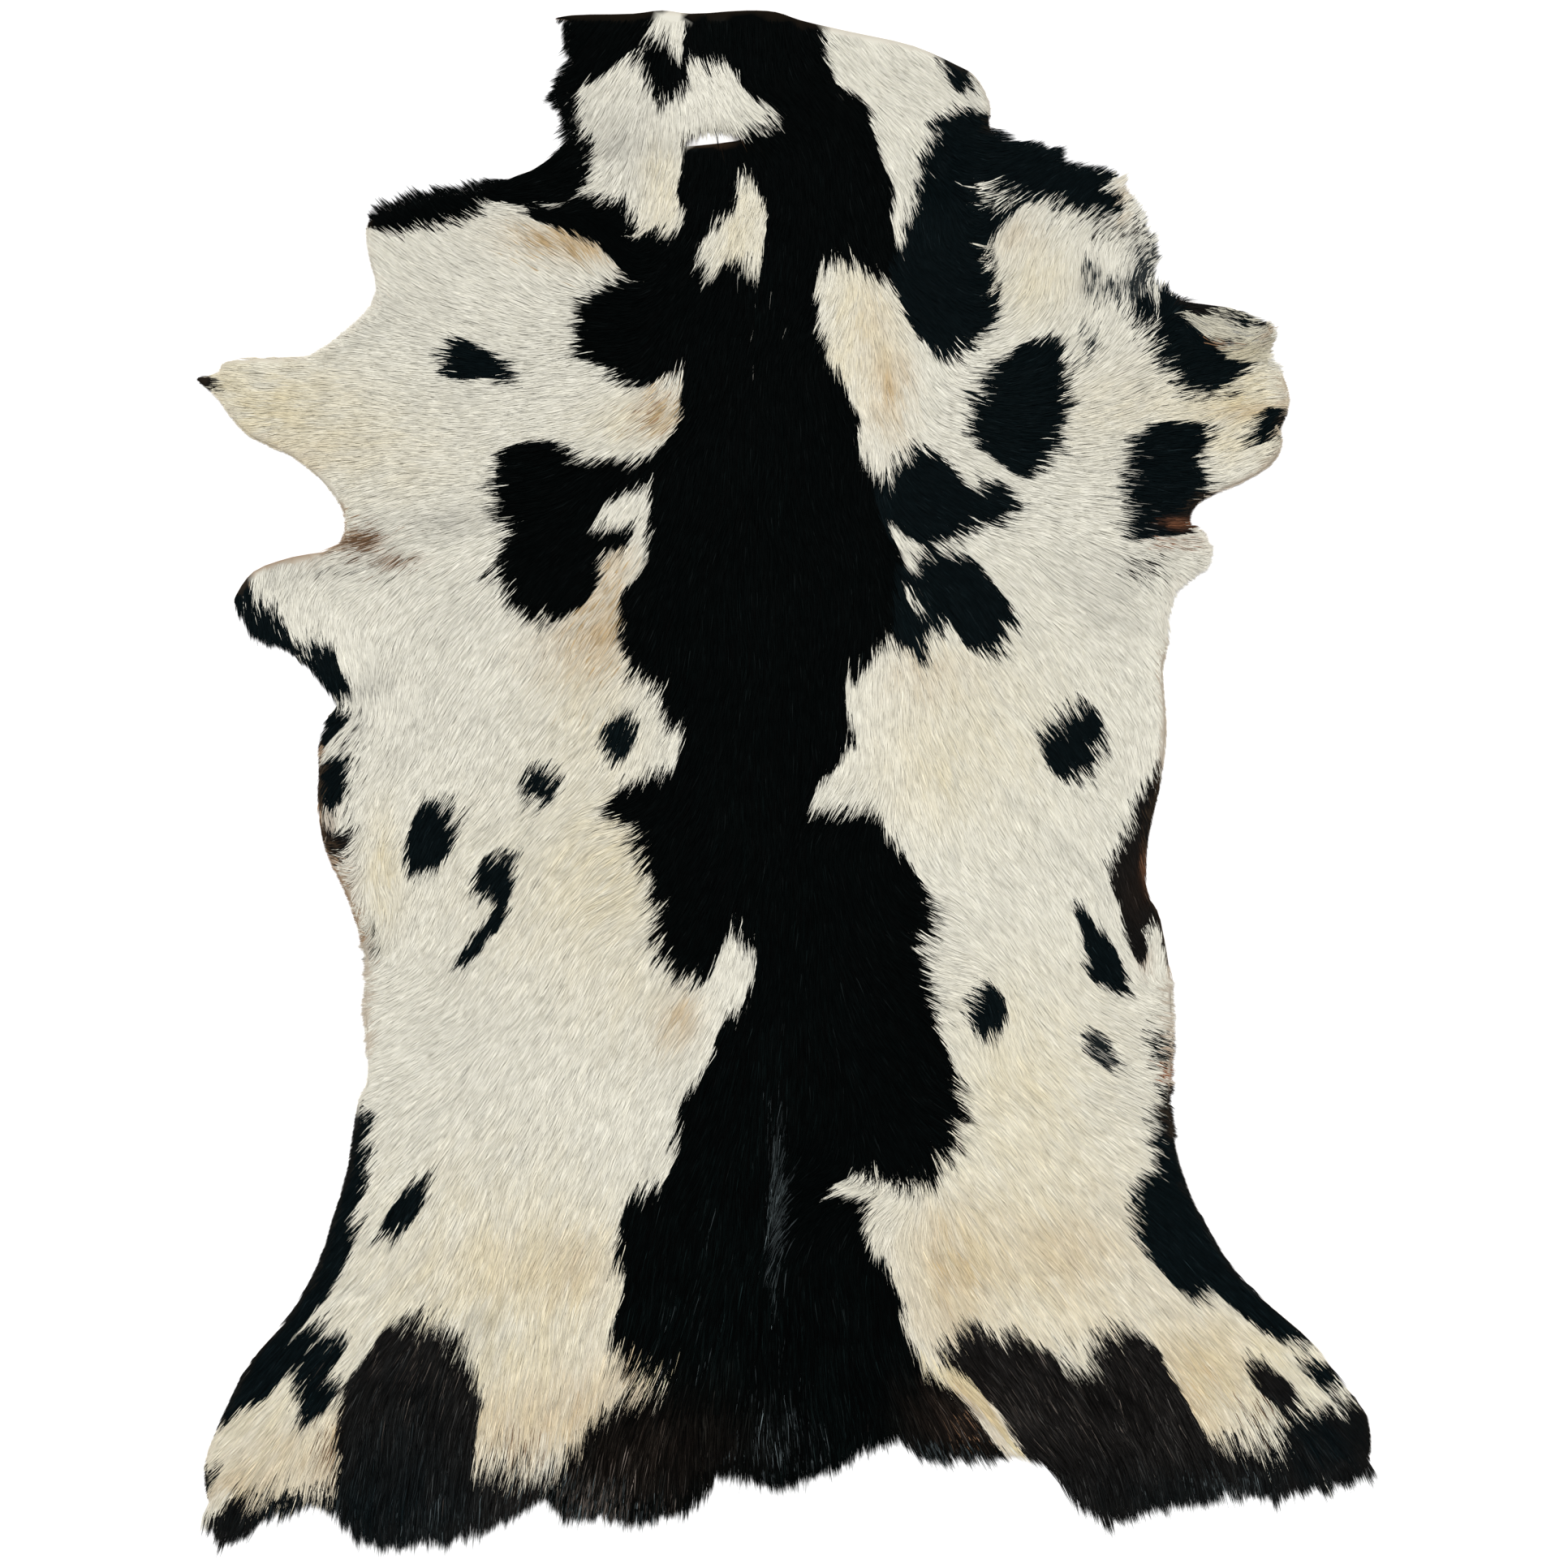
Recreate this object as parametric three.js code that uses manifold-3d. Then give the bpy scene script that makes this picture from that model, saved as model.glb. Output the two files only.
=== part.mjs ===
// A goatskin laid out flat with its coat on, hair side up.
// Millimetres, +Z up, +Y towards the neck. The origin is under the middle of the skin, on the floor.
// The solid is skin and coat together: thin at the rim, thicker inside, with the folds the skin keeps when
// it is laid down, and locks of hair that reach past the rim.

import * as THREE from "three";
import { mergeVertices } from "three/addons/utils/BufferGeometryUtils.js";
import Module from "manifold-3d";

const wasm = await Module();
wasm.setup();

// Driving dimensions

const SKIN_LENGTH = 950; // neck edge to the hair of the hind legs
const SKIN_WIDTH = 724; // across the left foreleg and the right hind leg
const RIM_THICK = 3; // skin and short hair at the rim
const COAT_THICK = 8.5; // skin and lying hair away from the rim
const RIM_SLOPE = 42; // how far in from the rim the coat reaches its full height
const GRID_STEP = 16; // spacing of the points that carry the relief
const CURVE_STEPS = 2; // points that each stretch of rim between two named points gets
const COAT_REACH = 0.5; // share of the hair past the skin that is dense enough to belong to the slab
const REACH_BLEND = 3; // points to each side over which that share is evened out
const LOCK_REACH = 0.65; // a lock's length past the slab, as a share of the hair past the skin
const LOCK_HEIGHT = 2.6; // a lock's height at its root
const LOCK_ROOT = 7; // how far a lock's root lies inside the rim
const LOCK_SPREAD = 0.62; // half of a lock's width at its root, as a share of the spacing
const LOCK_SWAY = 14; // degrees by which a lock leans from its stretch's heading
const LUMP_HEIGHT = 0.7; // unevenness of the coat
const LUMP_WAVES = { across: 27, along: 36, bend: 58 };

// The rim of the skin, clockwise seen from above, starting at the left end of the neck edge.
// lock: how far hair reaches past the rim. heading: the way it points, in degrees from +X.
// spacing: from one lock to the next. A stretch with lock 0 is bare at its edge.
const RIM = [
  {
    name: "neck edge",
    lock: 0,
    heading: 90,
    spacing: 20,
    points: [
      [-131, 471], [-93, 473], [-75, 475], [-58, 473], [-23, 475], [-5, 474], [10, 469], [40, 462],
      [80, 453], [107, 441], [116, 436], [122, 428], [127, 415], [126, 406],
    ],
  },
  {
    name: "right shoulder",
    lock: 5,
    heading: 22,
    spacing: 13,
    points: [
      [129, 398], [140, 392], [165, 388], [168, 382], [174, 377], [194, 375], [204, 371], [211, 359],
      [219, 343], [225, 330], [227, 320], [224, 312], [226, 304],
    ],
  },
  {
    name: "right foreleg, upper edge",
    lock: 4,
    heading: 55,
    spacing: 14,
    points: [
      [235, 301], [248, 294], [273, 289], [288, 282], [299, 281], [300, 274], [297, 265], [299, 257],
    ],
  },
  {
    name: "right foreleg, lower edge",
    lock: 0,
    heading: 0,
    spacing: 20,
    points: [
      [307, 250], [311, 236], [309, 225], [305, 217], [307, 209], [302, 198], [287, 187], [260, 175],
      [252, 168], [250, 160],
    ],
  },
  {
    name: "right elbow",
    lock: 3,
    heading: -18,
    spacing: 13,
    points: [
      [252, 156], [258, 153], [262, 145], [261, 134], [253, 127], [241, 119], [238, 109], [234, 97],
    ],
  },
  {
    name: "right flank",
    lock: 0,
    heading: -60,
    spacing: 20,
    points: [
      [236, 85], [233, 68], [235, 36], [232, 2], [224, -35], [222, -54], [223, -69], [230, -80],
      [236, -106],
    ],
  },
  {
    name: "right belly",
    lock: 3,
    heading: -8,
    spacing: 13,
    points: [[238, -124], [239, -150], [238, -186], [237, -202]],
  },
  {
    name: "right hind leg, outer edge",
    lock: 0,
    heading: -50,
    spacing: 20,
    points: [
      [240, -222], [248, -251], [262, -279], [282, -308], [307, -330], [324, -345], [341, -368],
      [357, -389], [361, -404],
    ],
  },
  {
    name: "right hind leg, hem",
    lock: 13,
    heading: -78,
    spacing: 11,
    points: [
      [359, -418], [340, -426], [300, -435], [280, -432], [262, -435], [227, -441], [198, -449],
    ],
  },
  {
    name: "right hind leg, inner edge",
    lock: 9,
    heading: -58,
    spacing: 12,
    points: [[187, -443], [174, -426], [166, -418], [154, -413]],
  },
  {
    name: "rump, right half",
    lock: 12,
    heading: -72,
    spacing: 11,
    points: [
      [137, -411], [120, -409], [87, -410], [74, -401], [48, -402], [38, -411], [12, -423], [-3, -427],
    ],
  },
  {
    name: "rump, left half",
    lock: 12,
    heading: -98,
    spacing: 11,
    points: [
      [-18, -424], [-33, -420], [-44, -422], [-53, -429], [-64, -445], [-103, -447], [-135, -445],
      [-143, -438], [-152, -438],
    ],
  },
  {
    name: "left hind leg, hem",
    lock: 12,
    heading: -98,
    spacing: 11,
    points: [
      [-164, -444], [-190, -452], [-203, -460], [-218, -463], [-254, -463], [-261, -456], [-272, -445],
      [-286, -440], [-304, -441], [-318, -447], [-335, -462], [-344, -463],
    ],
  },
  {
    name: "left hind leg, outer edge",
    lock: 0,
    heading: -130,
    spacing: 20,
    points: [
      [-352, -451], [-356, -436], [-356, -420], [-346, -393], [-332, -365], [-324, -352], [-303, -329],
      [-287, -299], [-276, -265], [-268, -238], [-262, -197], [-257, -188],
    ],
  },
  {
    name: "left belly",
    lock: 3,
    heading: -172,
    spacing: 13,
    points: [[-256, -172], [-258, -140], [-257, -112]],
  },
  {
    name: "left flank",
    lock: 0,
    heading: -120,
    spacing: 20,
    points: [[-260, -100], [-267, -76], [-282, -42], [-287, -10], [-286, 8]],
  },
  {
    name: "left flank, notched edge",
    lock: 4,
    heading: -140,
    spacing: 12,
    points: [[-286, 22], [-281, 33], [-281, 40], [-273, 47], [-283, 62], [-300, 78]],
  },
  {
    name: "left flank flap",
    lock: 6,
    heading: -110,
    spacing: 11,
    points: [[-312, 85], [-326, 90], [-332, 101], [-339, 110]],
  },
  {
    name: "left flank flap, upper edge",
    lock: 0,
    heading: 150,
    spacing: 20,
    points: [[-337, 116], [-327, 129], [-303, 138], [-276, 144], [-270, 157]],
  },
  {
    name: "left foreleg",
    lock: 0,
    heading: 180,
    spacing: 20,
    points: [
      [-273, 170], [-285, 186], [-304, 201], [-329, 213], [-349, 231], [-360, 246], [-349, 253],
      [-346, 258], [-313, 260], [-294, 261], [-273, 275], [-255, 292], [-251, 304], [-255, 322],
      [-256, 341],
    ],
  },
  {
    name: "left shoulder",
    lock: 6,
    heading: 128,
    spacing: 12,
    points: [
      [-244, 347], [-232, 354], [-205, 361], [-192, 362], [-165, 373], [-152, 378], [-134, 392],
      [-129, 398],
    ],
  },
  {
    name: "left neck edge",
    lock: 6,
    heading: 190,
    spacing: 12,
    points: [[-134, 408], [-141, 422], [-138, 432], [-130, 442], [-132, 458]],
  },
];

// The cut near the neck, a lens between two arcs.
const SLIT = { x: -44, y: 394, halfLength: 21, upper: 7.5, lower: 1.5, turn: 8 };

// Folds and swells, each a long soft ridge (or a trough, where height is below 0) centred on x, y.
// heading: the ridge's run in degrees from +X. raise: how far the skin itself leaves the floor there.
const FOLDS = [
  { name: "neck fold, ridge", x: 98, y: 384, heading: 72, length: 55, width: 11, height: 5, raise: 4 },
  { name: "neck fold, trough", x: 86, y: 378, heading: 72, length: 50, width: 9, height: -4, raise: 0 },
  { name: "neck swell", x: -60, y: 425, heading: 10, length: 120, width: 40, height: 3, raise: 2 },
  { name: "right shoulder notch", x: 216, y: 308, heading: 20, length: 34, width: 11, height: -4, raise: 0 },
  { name: "right foreleg curl", x: 282, y: 276, heading: -20, length: 46, width: 13, height: 8, raise: 8 },
  { name: "right foreleg crease", x: 262, y: 256, heading: -35, length: 48, width: 9, height: -4, raise: 0 },
  { name: "right foreleg tip fold", x: 300, y: 222, heading: 15, length: 24, width: 9, height: 5, raise: 4 },
  { name: "right elbow trough", x: 232, y: 156, heading: 8, length: 48, width: 10, height: -4, raise: 0 },
  { name: "right elbow ridge", x: 232, y: 140, heading: 4, length: 52, width: 13, height: 5, raise: 4 },
  { name: "right flank crease", x: 224, y: 98, heading: 5, length: 28, width: 8, height: -4, raise: 0 },
  { name: "right flank swell", x: 196, y: 30, heading: -84, length: 130, width: 40, height: 4, raise: 3 },
  { name: "right belly roll", x: 214, y: -62, heading: -70, length: 72, width: 14, height: 6, raise: 5 },
  { name: "right hind trough", x: 206, y: -378, heading: -16, length: 62, width: 12, height: -4, raise: 0 },
  { name: "right hind ridge", x: 200, y: -400, heading: -14, length: 72, width: 17, height: 4, raise: 3 },
  { name: "rump ridge", x: -4, y: -262, heading: -86, length: 170, width: 24, height: 5, raise: 0 },
  { name: "spine ridge", x: -14, y: 40, heading: 88, length: 400, width: 34, height: 3, raise: 0 },
  { name: "tail trough", x: 60, y: -330, heading: -70, length: 80, width: 24, height: -3, raise: 0 },
  { name: "left hind swell", x: -200, y: -330, heading: 60, length: 130, width: 46, height: 4, raise: 3 },
  { name: "left belly roll", x: -262, y: -70, heading: 110, length: 60, width: 13, height: 5, raise: 4 },
  { name: "left flank swell", x: -190, y: -20, heading: 80, length: 140, width: 44, height: 4, raise: 3 },
  { name: "left flap trough", x: -256, y: 52, heading: 14, length: 46, width: 9, height: -4, raise: 0 },
  { name: "left flap ridge", x: -264, y: 72, heading: 32, length: 60, width: 16, height: 5, raise: 4 },
  { name: "left elbow fold", x: -244, y: 138, heading: -8, length: 60, width: 10, height: 4, raise: 3 },
  { name: "left foreleg crease", x: -246, y: 284, heading: -50, length: 60, width: 12, height: -3, raise: 0 },
  { name: "left shoulder swell", x: -190, y: 290, heading: -20, length: 110, width: 42, height: 4, raise: 3 },
];

const COAT_COLOUR = 0xd8d3c2;
const COAT_ROUGHNESS = 0.8;

// Helpers

const radians = THREE.MathUtils.degToRad;
const smooth = (t) => THREE.MathUtils.smoothstep(t, 0, 1);

// A geometry as a manifold solid, with its vertices merged by position alone.
function solidOf(geometry) {
  const bare = geometry.clone();
  bare.deleteAttribute("normal");
  bare.deleteAttribute("uv");
  const merged = mergeVertices(bare, 1e-4);
  return new wasm.Manifold(
    new wasm.Mesh({
      numProp: 3,
      vertProperties: merged.attributes.position.array,
      triVerts: new Uint32Array(merged.index.array),
    }),
  );
}

function geometryOf(solid) {
  const { vertProperties, triVerts } = solid.getMesh();
  const geometry = new THREE.BufferGeometry();
  geometry.setAttribute("position", new THREE.BufferAttribute(vertProperties, 3));
  geometry.setIndex(new THREE.BufferAttribute(triVerts, 1));
  geometry.computeVertexNormals();
  return geometry;
}

// The rim as one smooth closed line, out to the dense part of the hair that reaches past the skin.
// Each point knows the stretch that it belongs to.
function rimLine() {
  const named = RIM.flatMap((stretch) => stretch.points.map(([x, y]) => ({ x, y, stretch })));
  const curve = new THREE.CatmullRomCurve3(
    named.map(({ x, y }) => new THREE.Vector3(x, y, 0)),
    true,
    "centripetal",
  );
  const count = named.length * CURVE_STEPS;
  const stretchAt = (i) => named[Math.floor(((i + count) % count) / CURVE_STEPS)].stretch;
  return Array.from({ length: count }, (_, i) => {
    const at = curve.getPoint(i / count);
    for (let near = -REACH_BLEND; near <= REACH_BLEND; near += 1) {
      const { lock, heading } = stretchAt(i + near);
      const reach = (lock * COAT_REACH) / (2 * REACH_BLEND + 1);
      at.x += reach * Math.cos(radians(heading));
      at.y += reach * Math.sin(radians(heading));
    }
    return { x: at.x, y: at.y, stretch: stretchAt(i) };
  });
}

// How far a place lies inside the rim; below 0 outside it.
function depthInside(rim, x, y) {
  let nearest = Infinity;
  let inside = false;
  for (let i = 0, j = rim.length - 1; i < rim.length; j = i, i += 1) {
    const a = rim[j];
    const b = rim[i];
    const dx = b.x - a.x;
    const dy = b.y - a.y;
    const along = ((x - a.x) * dx + (y - a.y) * dy) / (dx * dx + dy * dy);
    const t = THREE.MathUtils.clamp(along, 0, 1);
    nearest = Math.min(nearest, Math.hypot(x - a.x - t * dx, y - a.y - t * dy));
    if (a.y > y !== b.y > y && x < ((b.x - a.x) * (y - a.y)) / (b.y - a.y) + a.x) {
      inside = !inside;
    }
  }
  return inside ? nearest : -nearest;
}

// One column of FOLDS summed at a place.
function foldSum(column, x, y) {
  return FOLDS.reduce((sum, fold) => {
    const turn = radians(fold.heading);
    const dx = x - fold.x;
    const dy = y - fold.y;
    const along = (dx * Math.cos(turn) + dy * Math.sin(turn)) / fold.length;
    const across = (dy * Math.cos(turn) - dx * Math.sin(turn)) / fold.width;
    return sum + fold[column] * Math.exp(-across * across - along * along * 2);
  }, 0);
}

function lump(x, y) {
  const { across, along, bend } = LUMP_WAVES;
  return LUMP_HEIGHT * Math.sin(x / across + Math.sin(y / bend)) * Math.sin(y / along - Math.sin(x / bend));
}

const undersideAt = (x, y) => Math.max(0, foldSum("raise", x, y) - 1);

function topAt(rim, x, y) {
  const depth = depthInside(rim, x, y);
  const share = smooth(depth / RIM_SLOPE);
  const coat = THREE.MathUtils.lerp(RIM_THICK, COAT_THICK, share);
  const relief = (foldSum("height", x, y) - foldSum("raise", x, y) + lump(x, y)) * share;
  return undersideAt(x, y) + Math.max(RIM_THICK, coat + relief);
}

// A slab that carries the relief on a grid, larger than the skin all round.
function reliefSlab(rim) {
  const width = Math.ceil(SKIN_WIDTH / GRID_STEP + 2) * GRID_STEP;
  const length = Math.ceil(SKIN_LENGTH / GRID_STEP + 2) * GRID_STEP;
  const slab = new THREE.BoxGeometry(width, length, 2, width / GRID_STEP, length / GRID_STEP, 1);
  const place = slab.attributes.position;
  for (let i = 0; i < place.count; i += 1) {
    const x = place.getX(i);
    const y = place.getY(i);
    place.setZ(i, place.getZ(i) > 0 ? topAt(rim, x, y) : undersideAt(x, y));
  }
  return solidOf(slab);
}

// A closed line of points as an upright prism through the whole slab.
function prismOf(points) {
  const shape = new THREE.Shape(points.map(({ x, y }) => new THREE.Vector2(x, y)));
  const height = 80;
  const prism = new THREE.ExtrudeGeometry(shape, { depth: height, bevelEnabled: false });
  prism.translate(0, 0, -height / 2);
  return solidOf(prism);
}

// The lens of the slit, as points of its two arcs.
function slitLine() {
  const steps = 6;
  const turn = radians(SLIT.turn);
  const arc = (from, to, bulge) =>
    Array.from({ length: steps }, (_, i) => {
      const along = THREE.MathUtils.lerp(from, to, i / steps);
      const off = bulge * (1 - (along / SLIT.halfLength) ** 2);
      return {
        x: SLIT.x + along * Math.cos(turn) - off * Math.sin(turn),
        y: SLIT.y + along * Math.sin(turn) + off * Math.cos(turn),
      };
    });
  const { halfLength, upper, lower } = SLIT;
  return [...arc(-halfLength, halfLength, -lower), ...arc(halfLength, -halfLength, upper)];
}

// One lock: three sides on a flat base, level on what the skin lies on, from a broad root to a point.
function lockAt(root, heading, reach, halfWidth) {
  const lock = new THREE.ConeGeometry(1, 1, 3);
  const place = lock.attributes.position;
  for (let i = 0; i < place.count; i += 1) {
    const along = place.getY(i) + 0.5;
    const out = along * (LOCK_ROOT + reach) - LOCK_ROOT;
    const across = -place.getX(i) * halfWidth;
    const up = ((place.getZ(i) + 0.5 - 0.5 * along) / 1.5) * LOCK_HEIGHT;
    const x = root.x + out * Math.cos(heading) - across * Math.sin(heading);
    const y = root.y + out * Math.sin(heading) + across * Math.cos(heading);
    place.setXYZ(i, x, y, up + undersideAt(x, y));
  }
  return solidOf(lock);
}

// Locks along the rim, each stretch at its own spacing, swaying a little from one to the next.
function rimLocks(rim) {
  const locks = [];
  let walked = 0;
  rim.forEach((at, i) => {
    const before = rim[(i + rim.length - 1) % rim.length];
    walked += Math.hypot(at.x - before.x, at.y - before.y);
    const { lock, heading, spacing } = at.stretch;
    if (lock === 0 || walked < spacing) {
      return;
    }
    walked = 0;
    const index = locks.length;
    const turn = radians(heading + LOCK_SWAY * Math.sin(index * 2.4));
    const reach = lock * (LOCK_REACH + 0.3 * Math.cos(index * 1.7));
    locks.push(lockAt(at, turn, reach, spacing * LOCK_SPREAD));
  });
  return locks;
}

// The goatskin

const rim = rimLine();
const locks = rimLocks(rim);
const slit = prismOf(slitLine());
const skin = locks
  .reduce((whole, lock) => whole.add(lock), reliefSlab(rim).intersect(prismOf(rim)))
  .subtract(slit);

const goatskin = new THREE.Mesh(
  geometryOf(skin),
  new THREE.MeshStandardMaterial({ color: COAT_COLOUR, roughness: COAT_ROUGHNESS, metalness: 0 }),
);
goatskin.name = "goatskin";

const part = new THREE.Group();
part.add(goatskin);

export default part;
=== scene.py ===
# A goatskin with its coat on, laid flat on a pale floor, hair side up, seen from above.
# Metres, +Z up, +Y towards the neck. The skin is a thin sheet on the folds of the solid, and the coat is
# made of tapered hairs that lie in the way the hair grows.

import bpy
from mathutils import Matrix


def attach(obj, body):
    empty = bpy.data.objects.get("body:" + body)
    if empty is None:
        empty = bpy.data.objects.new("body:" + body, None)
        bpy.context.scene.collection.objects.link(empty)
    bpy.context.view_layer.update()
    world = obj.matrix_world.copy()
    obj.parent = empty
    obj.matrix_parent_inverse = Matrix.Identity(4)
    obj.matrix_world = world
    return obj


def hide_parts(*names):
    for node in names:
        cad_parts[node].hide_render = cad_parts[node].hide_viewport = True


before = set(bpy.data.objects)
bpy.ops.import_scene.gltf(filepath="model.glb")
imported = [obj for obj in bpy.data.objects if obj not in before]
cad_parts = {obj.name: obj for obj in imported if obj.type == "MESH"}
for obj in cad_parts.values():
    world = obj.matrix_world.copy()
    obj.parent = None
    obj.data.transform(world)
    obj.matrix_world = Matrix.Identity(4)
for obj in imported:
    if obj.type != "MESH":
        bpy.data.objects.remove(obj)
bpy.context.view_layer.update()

import math

import bpy
import numpy as np
from mathutils import Vector
from mathutils.bvhtree import BVHTree
from mathutils.geometry import delaunay_2d_cdt

# Chart of the skin seen from above. One chart unit is half a millimetre, x runs to the right and y
# towards the rump, and the spine and the middle of the skin are at these values.
CHART_UNIT = 0.0005
CHART_SPINE = 966
CHART_MIDDLE = 962
MM = 1000  # millimetres in a metre, for the tables that are in millimetres

# Sheet of skin
SKIN_THICK = 0.0017  # tanned skin without its hair
FLOOR_GAP = 0.0001  # least height of the sheet's underside over the floor
COAT_DEPTH = 0.0052  # lying hair over the skin
SKIN_STEP = 0.0052  # spacing of the sheet's own points
SKIN_DISORDER = 0.3  # how far those points stray, over their spacing
RIM_CLEAR = 0.5  # how far they keep from the rim, over their spacing
SLIT_CLEAR = 0.002  # how far they keep from the slit
MERGE_GAP = 1e-7  # points that lie nearer than this become one
SHEET_PAINTED_SHADE = 0.9  # of the coat's colour, on the sheet between the hairs: painted shade there
LEATHER_DEPTH = 0.0013  # width of the line of leather that shows along a bare rim
LEATHER_TONE = 0.55  # of the leather's colour, where that line lies in the hair's shade
LEATHER_ON_DARK = 0.15  # how much of that line shows among dark hairs

# Grids on which slow measures are taken once
HEIGHT_STEP = 0.005  # for the solid's folds
RIM_STEP = 0.0025  # for the distance to the rim and the light in creases
GROWTH_STEP = 0.006  # for the way the hair grows
GRID_HALF = (0.42, 0.54)  # half the width and half the length that every grid covers
CURVE_STEPS = 3  # points that each stretch of rim between two named points gets
BATCHES = 80  # parts in which the points are measured, to keep the memory low
LATTICE = 256  # random values along each side of a lattice, after which they repeat
LATTICE_SHIFT = 128.37  # cells by which a lattice is moved, so that it covers the skin before it repeats
CLUMP_SPREAD = (0.1, 0.9)  # part of its cell in which the middle of a clump may lie

# Clumps of hair and soft random fields over the skin: size and seed
LOCK = (0.0068, 21)
WISP = (0.002, 22)
SWATH = (0.015, 23)  # an area in which streaks of tone run one way
BEND = (0.02, 5)
AREA = (0.03, 31)
SHEEN = (0.016, 35)
TURNS = [(5, (0.034, 3)), (3.5, (0.011, 4))]  # degrees by which two fields turn the hair

# Coat
HAIR_SPACING = 0.00102  # from one hair's root to the next
HAIR_WIDTH = 0.0005  # one blade stands for a few hairs side by side
WIDTH_RANGE = (0.75, 1.25)  # of the width
LENGTH_RANGE = (0.72, 1.15)  # of the length in the growth table
HAIR_OVERLAP = 1.5  # a hair's length over the part of it that shows
HAIR_TWIST = 11  # degrees by which blades are turned about their length
HAIR_STRAY = 3  # degrees by which single hairs leave the coat's way
CLUMP_STRAY = 4  # degrees by which wisps and locks do
COMBED = (0.48, 0.34, 0.18)  # shares of a hair's end that its own way, its wisp and its lock decide
GROWTH_REACH = 0.008  # distance within which a row of the growth table keeps most of its weight
GROWTH_FADE = 1.7  # power of the squared distance by which that weight falls off
HAIR_BEND = (0.05, 0.025)  # sideways, over the length, of hairs together and of single ones
SLOPE_REACH = 0.002  # distance over which a blade feels the slope of the skin

# Height of the hairs over the skin. Rows of three: mean, change from lock to lock, from wisp to wisp.
HAIR_LIFT = 0.0021  # how high the tips lie
LIFT_SHARES = (0.78, 0.16, 0.16)
LIFT_RANGE = (0.7, 1.15)  # from hair to hair
LIFTED_LENGTH = 0.016  # length of a hair that has the full lift
LIFT_LIMITS = (0.3, 1.3)  # for shorter and for longer ones
MIDDLE_LIFT = 0.66  # of the lift, half way along a hair
TIP_LIFT = 0.95
TIP_LIFT_OFF_SKIN = 0.45  # where the tip has passed the rim
ROOT_DEPTH = 0.0002  # of a root under the skin
LEAST_TIP = 0.0005  # lowest height of a tip over the floor

# How far hairs pass the rim and hang over the slit
PAST_RIM = 0.0006  # for every hair, besides the reach in the table of the rim
REACH_SHARES = (0.85, 0.5, 0.25)  # of that reach: mean, change from lock to lock, from wisp to wisp
REACH_LIMITS = (0.1, 1.6)
REACH_RANGE = (0.8, 1.1)  # from hair to hair
CUT_BACK = 0.74  # of its length that a hair keeps, each time that it is found too long
CUTS = 7
SLIT_HANG = [(0.45, 0), (0.7, 0.35), (1, 0.65)]  # place along a hair, share that may have it over the slit
SLIT_INSET = 0.0016  # how far inside the slit's outline that is tested
ROOTLESS_EDGE = 0.0003  # width along the slit where no hair has its root

# Colour of the coat
DARK_SPREAD = {"black": 4, "umber": 4, "night": 7}  # chart units that dark tips spread past an outline
SHOWN_AT = 0.66  # place along a hair whose patch gives the hair its colour
SHOWN_BY_WISP = 0.3  # how much the middle of its wisp decides instead
RAGGED = (0.0022, 0.005, 0.0034)  # how far locks, wisps and a wisp's core carry colour along the hair
RAGGED_HAIR = 0.0014  # how far single hairs do
CORE_SIZE = 0.0012  # radius of a core
CORE_MEAN = 0.4  # how far into a core hair must stand for colour to stay in place
RAGGED_LENGTH = 0.017  # length of a hair for which those distances hold
RAGGED_LIMITS = (0.95, 2)  # for shorter and for longer ones
TINT_CELL = 0.006  # size of the changes within a tint
TINT_LEVELS = (0.75, 0.5)  # of a tint's strength: mean, and change from place to place
STREAK_SHIFT = 0.37  # so that the rows of the streaks pick different hairs
WISP_PICK = 0.31  # how much a wisp, and then a hair, decides which hairs are picked
HAIR_PICK = 0.38
PALE_SHADOW_SHARE = 0.04  # share of pale hairs made greyish, as painted shadow between the hairs
PALE_SHADOW_TONE = 0.74  # of the colour around them, for that painted shadow
DARK_SHEEN_SHARE = 0.02  # share of dark hairs made lighter and greyer, as painted sheen
DARK_SHEEN_TONE = 2.2
DARK_SHEEN_LEAST = 0.002
LONG_HAIR = (24, 12)  # chart units at which hair starts to count as long, and over which it gets there
STREAK_LENGTH = 0.012  # of a streak of tone
STREAK_WIDTH = 0.0009
STREAK_SEED = 33
STREAK_SPREAD = 60  # streaks by which each swath's pattern is moved at most
BLADE_PAINTED_SHADE = (0.84, 0.98, 0.98, 1.02)  # of a hair's colour, at its root, its two sides and its tip: painted shade, darkest at the root
LEAST_COLOUR = 0.0005
MOST_COLOUR = 0.95
MOST_TIP_COLOUR = 0.97

# Tone of the hairs, as a natural logarithm. Columns: cause, change in short hair, further change in long.
PALE_TONES = [
    ("pale hair", 0.065, 0.065),
    ("wisp", 0.02, 0),
    ("lock", 0.015, 0),
    ("area", 0.025, 0),
    ("streak", 0.07, 0.06),
]
# Among dark hairs these changes are partly random tone and partly painted sheen; the sheen row is painted
# sheen only.
DARK_TONES = [
    ("dark hair", 0.15, 0.6),
    ("wisp", 0, 0.22),
    ("streak", 0.12, 0.42),
    ("sheen", 0, 0.35),
]

COAT_PIECES = ["coat_neck", "coat_shoulders", "coat_barrel", "coat_loin", "coat_rump"]
SEED = 11

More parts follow.
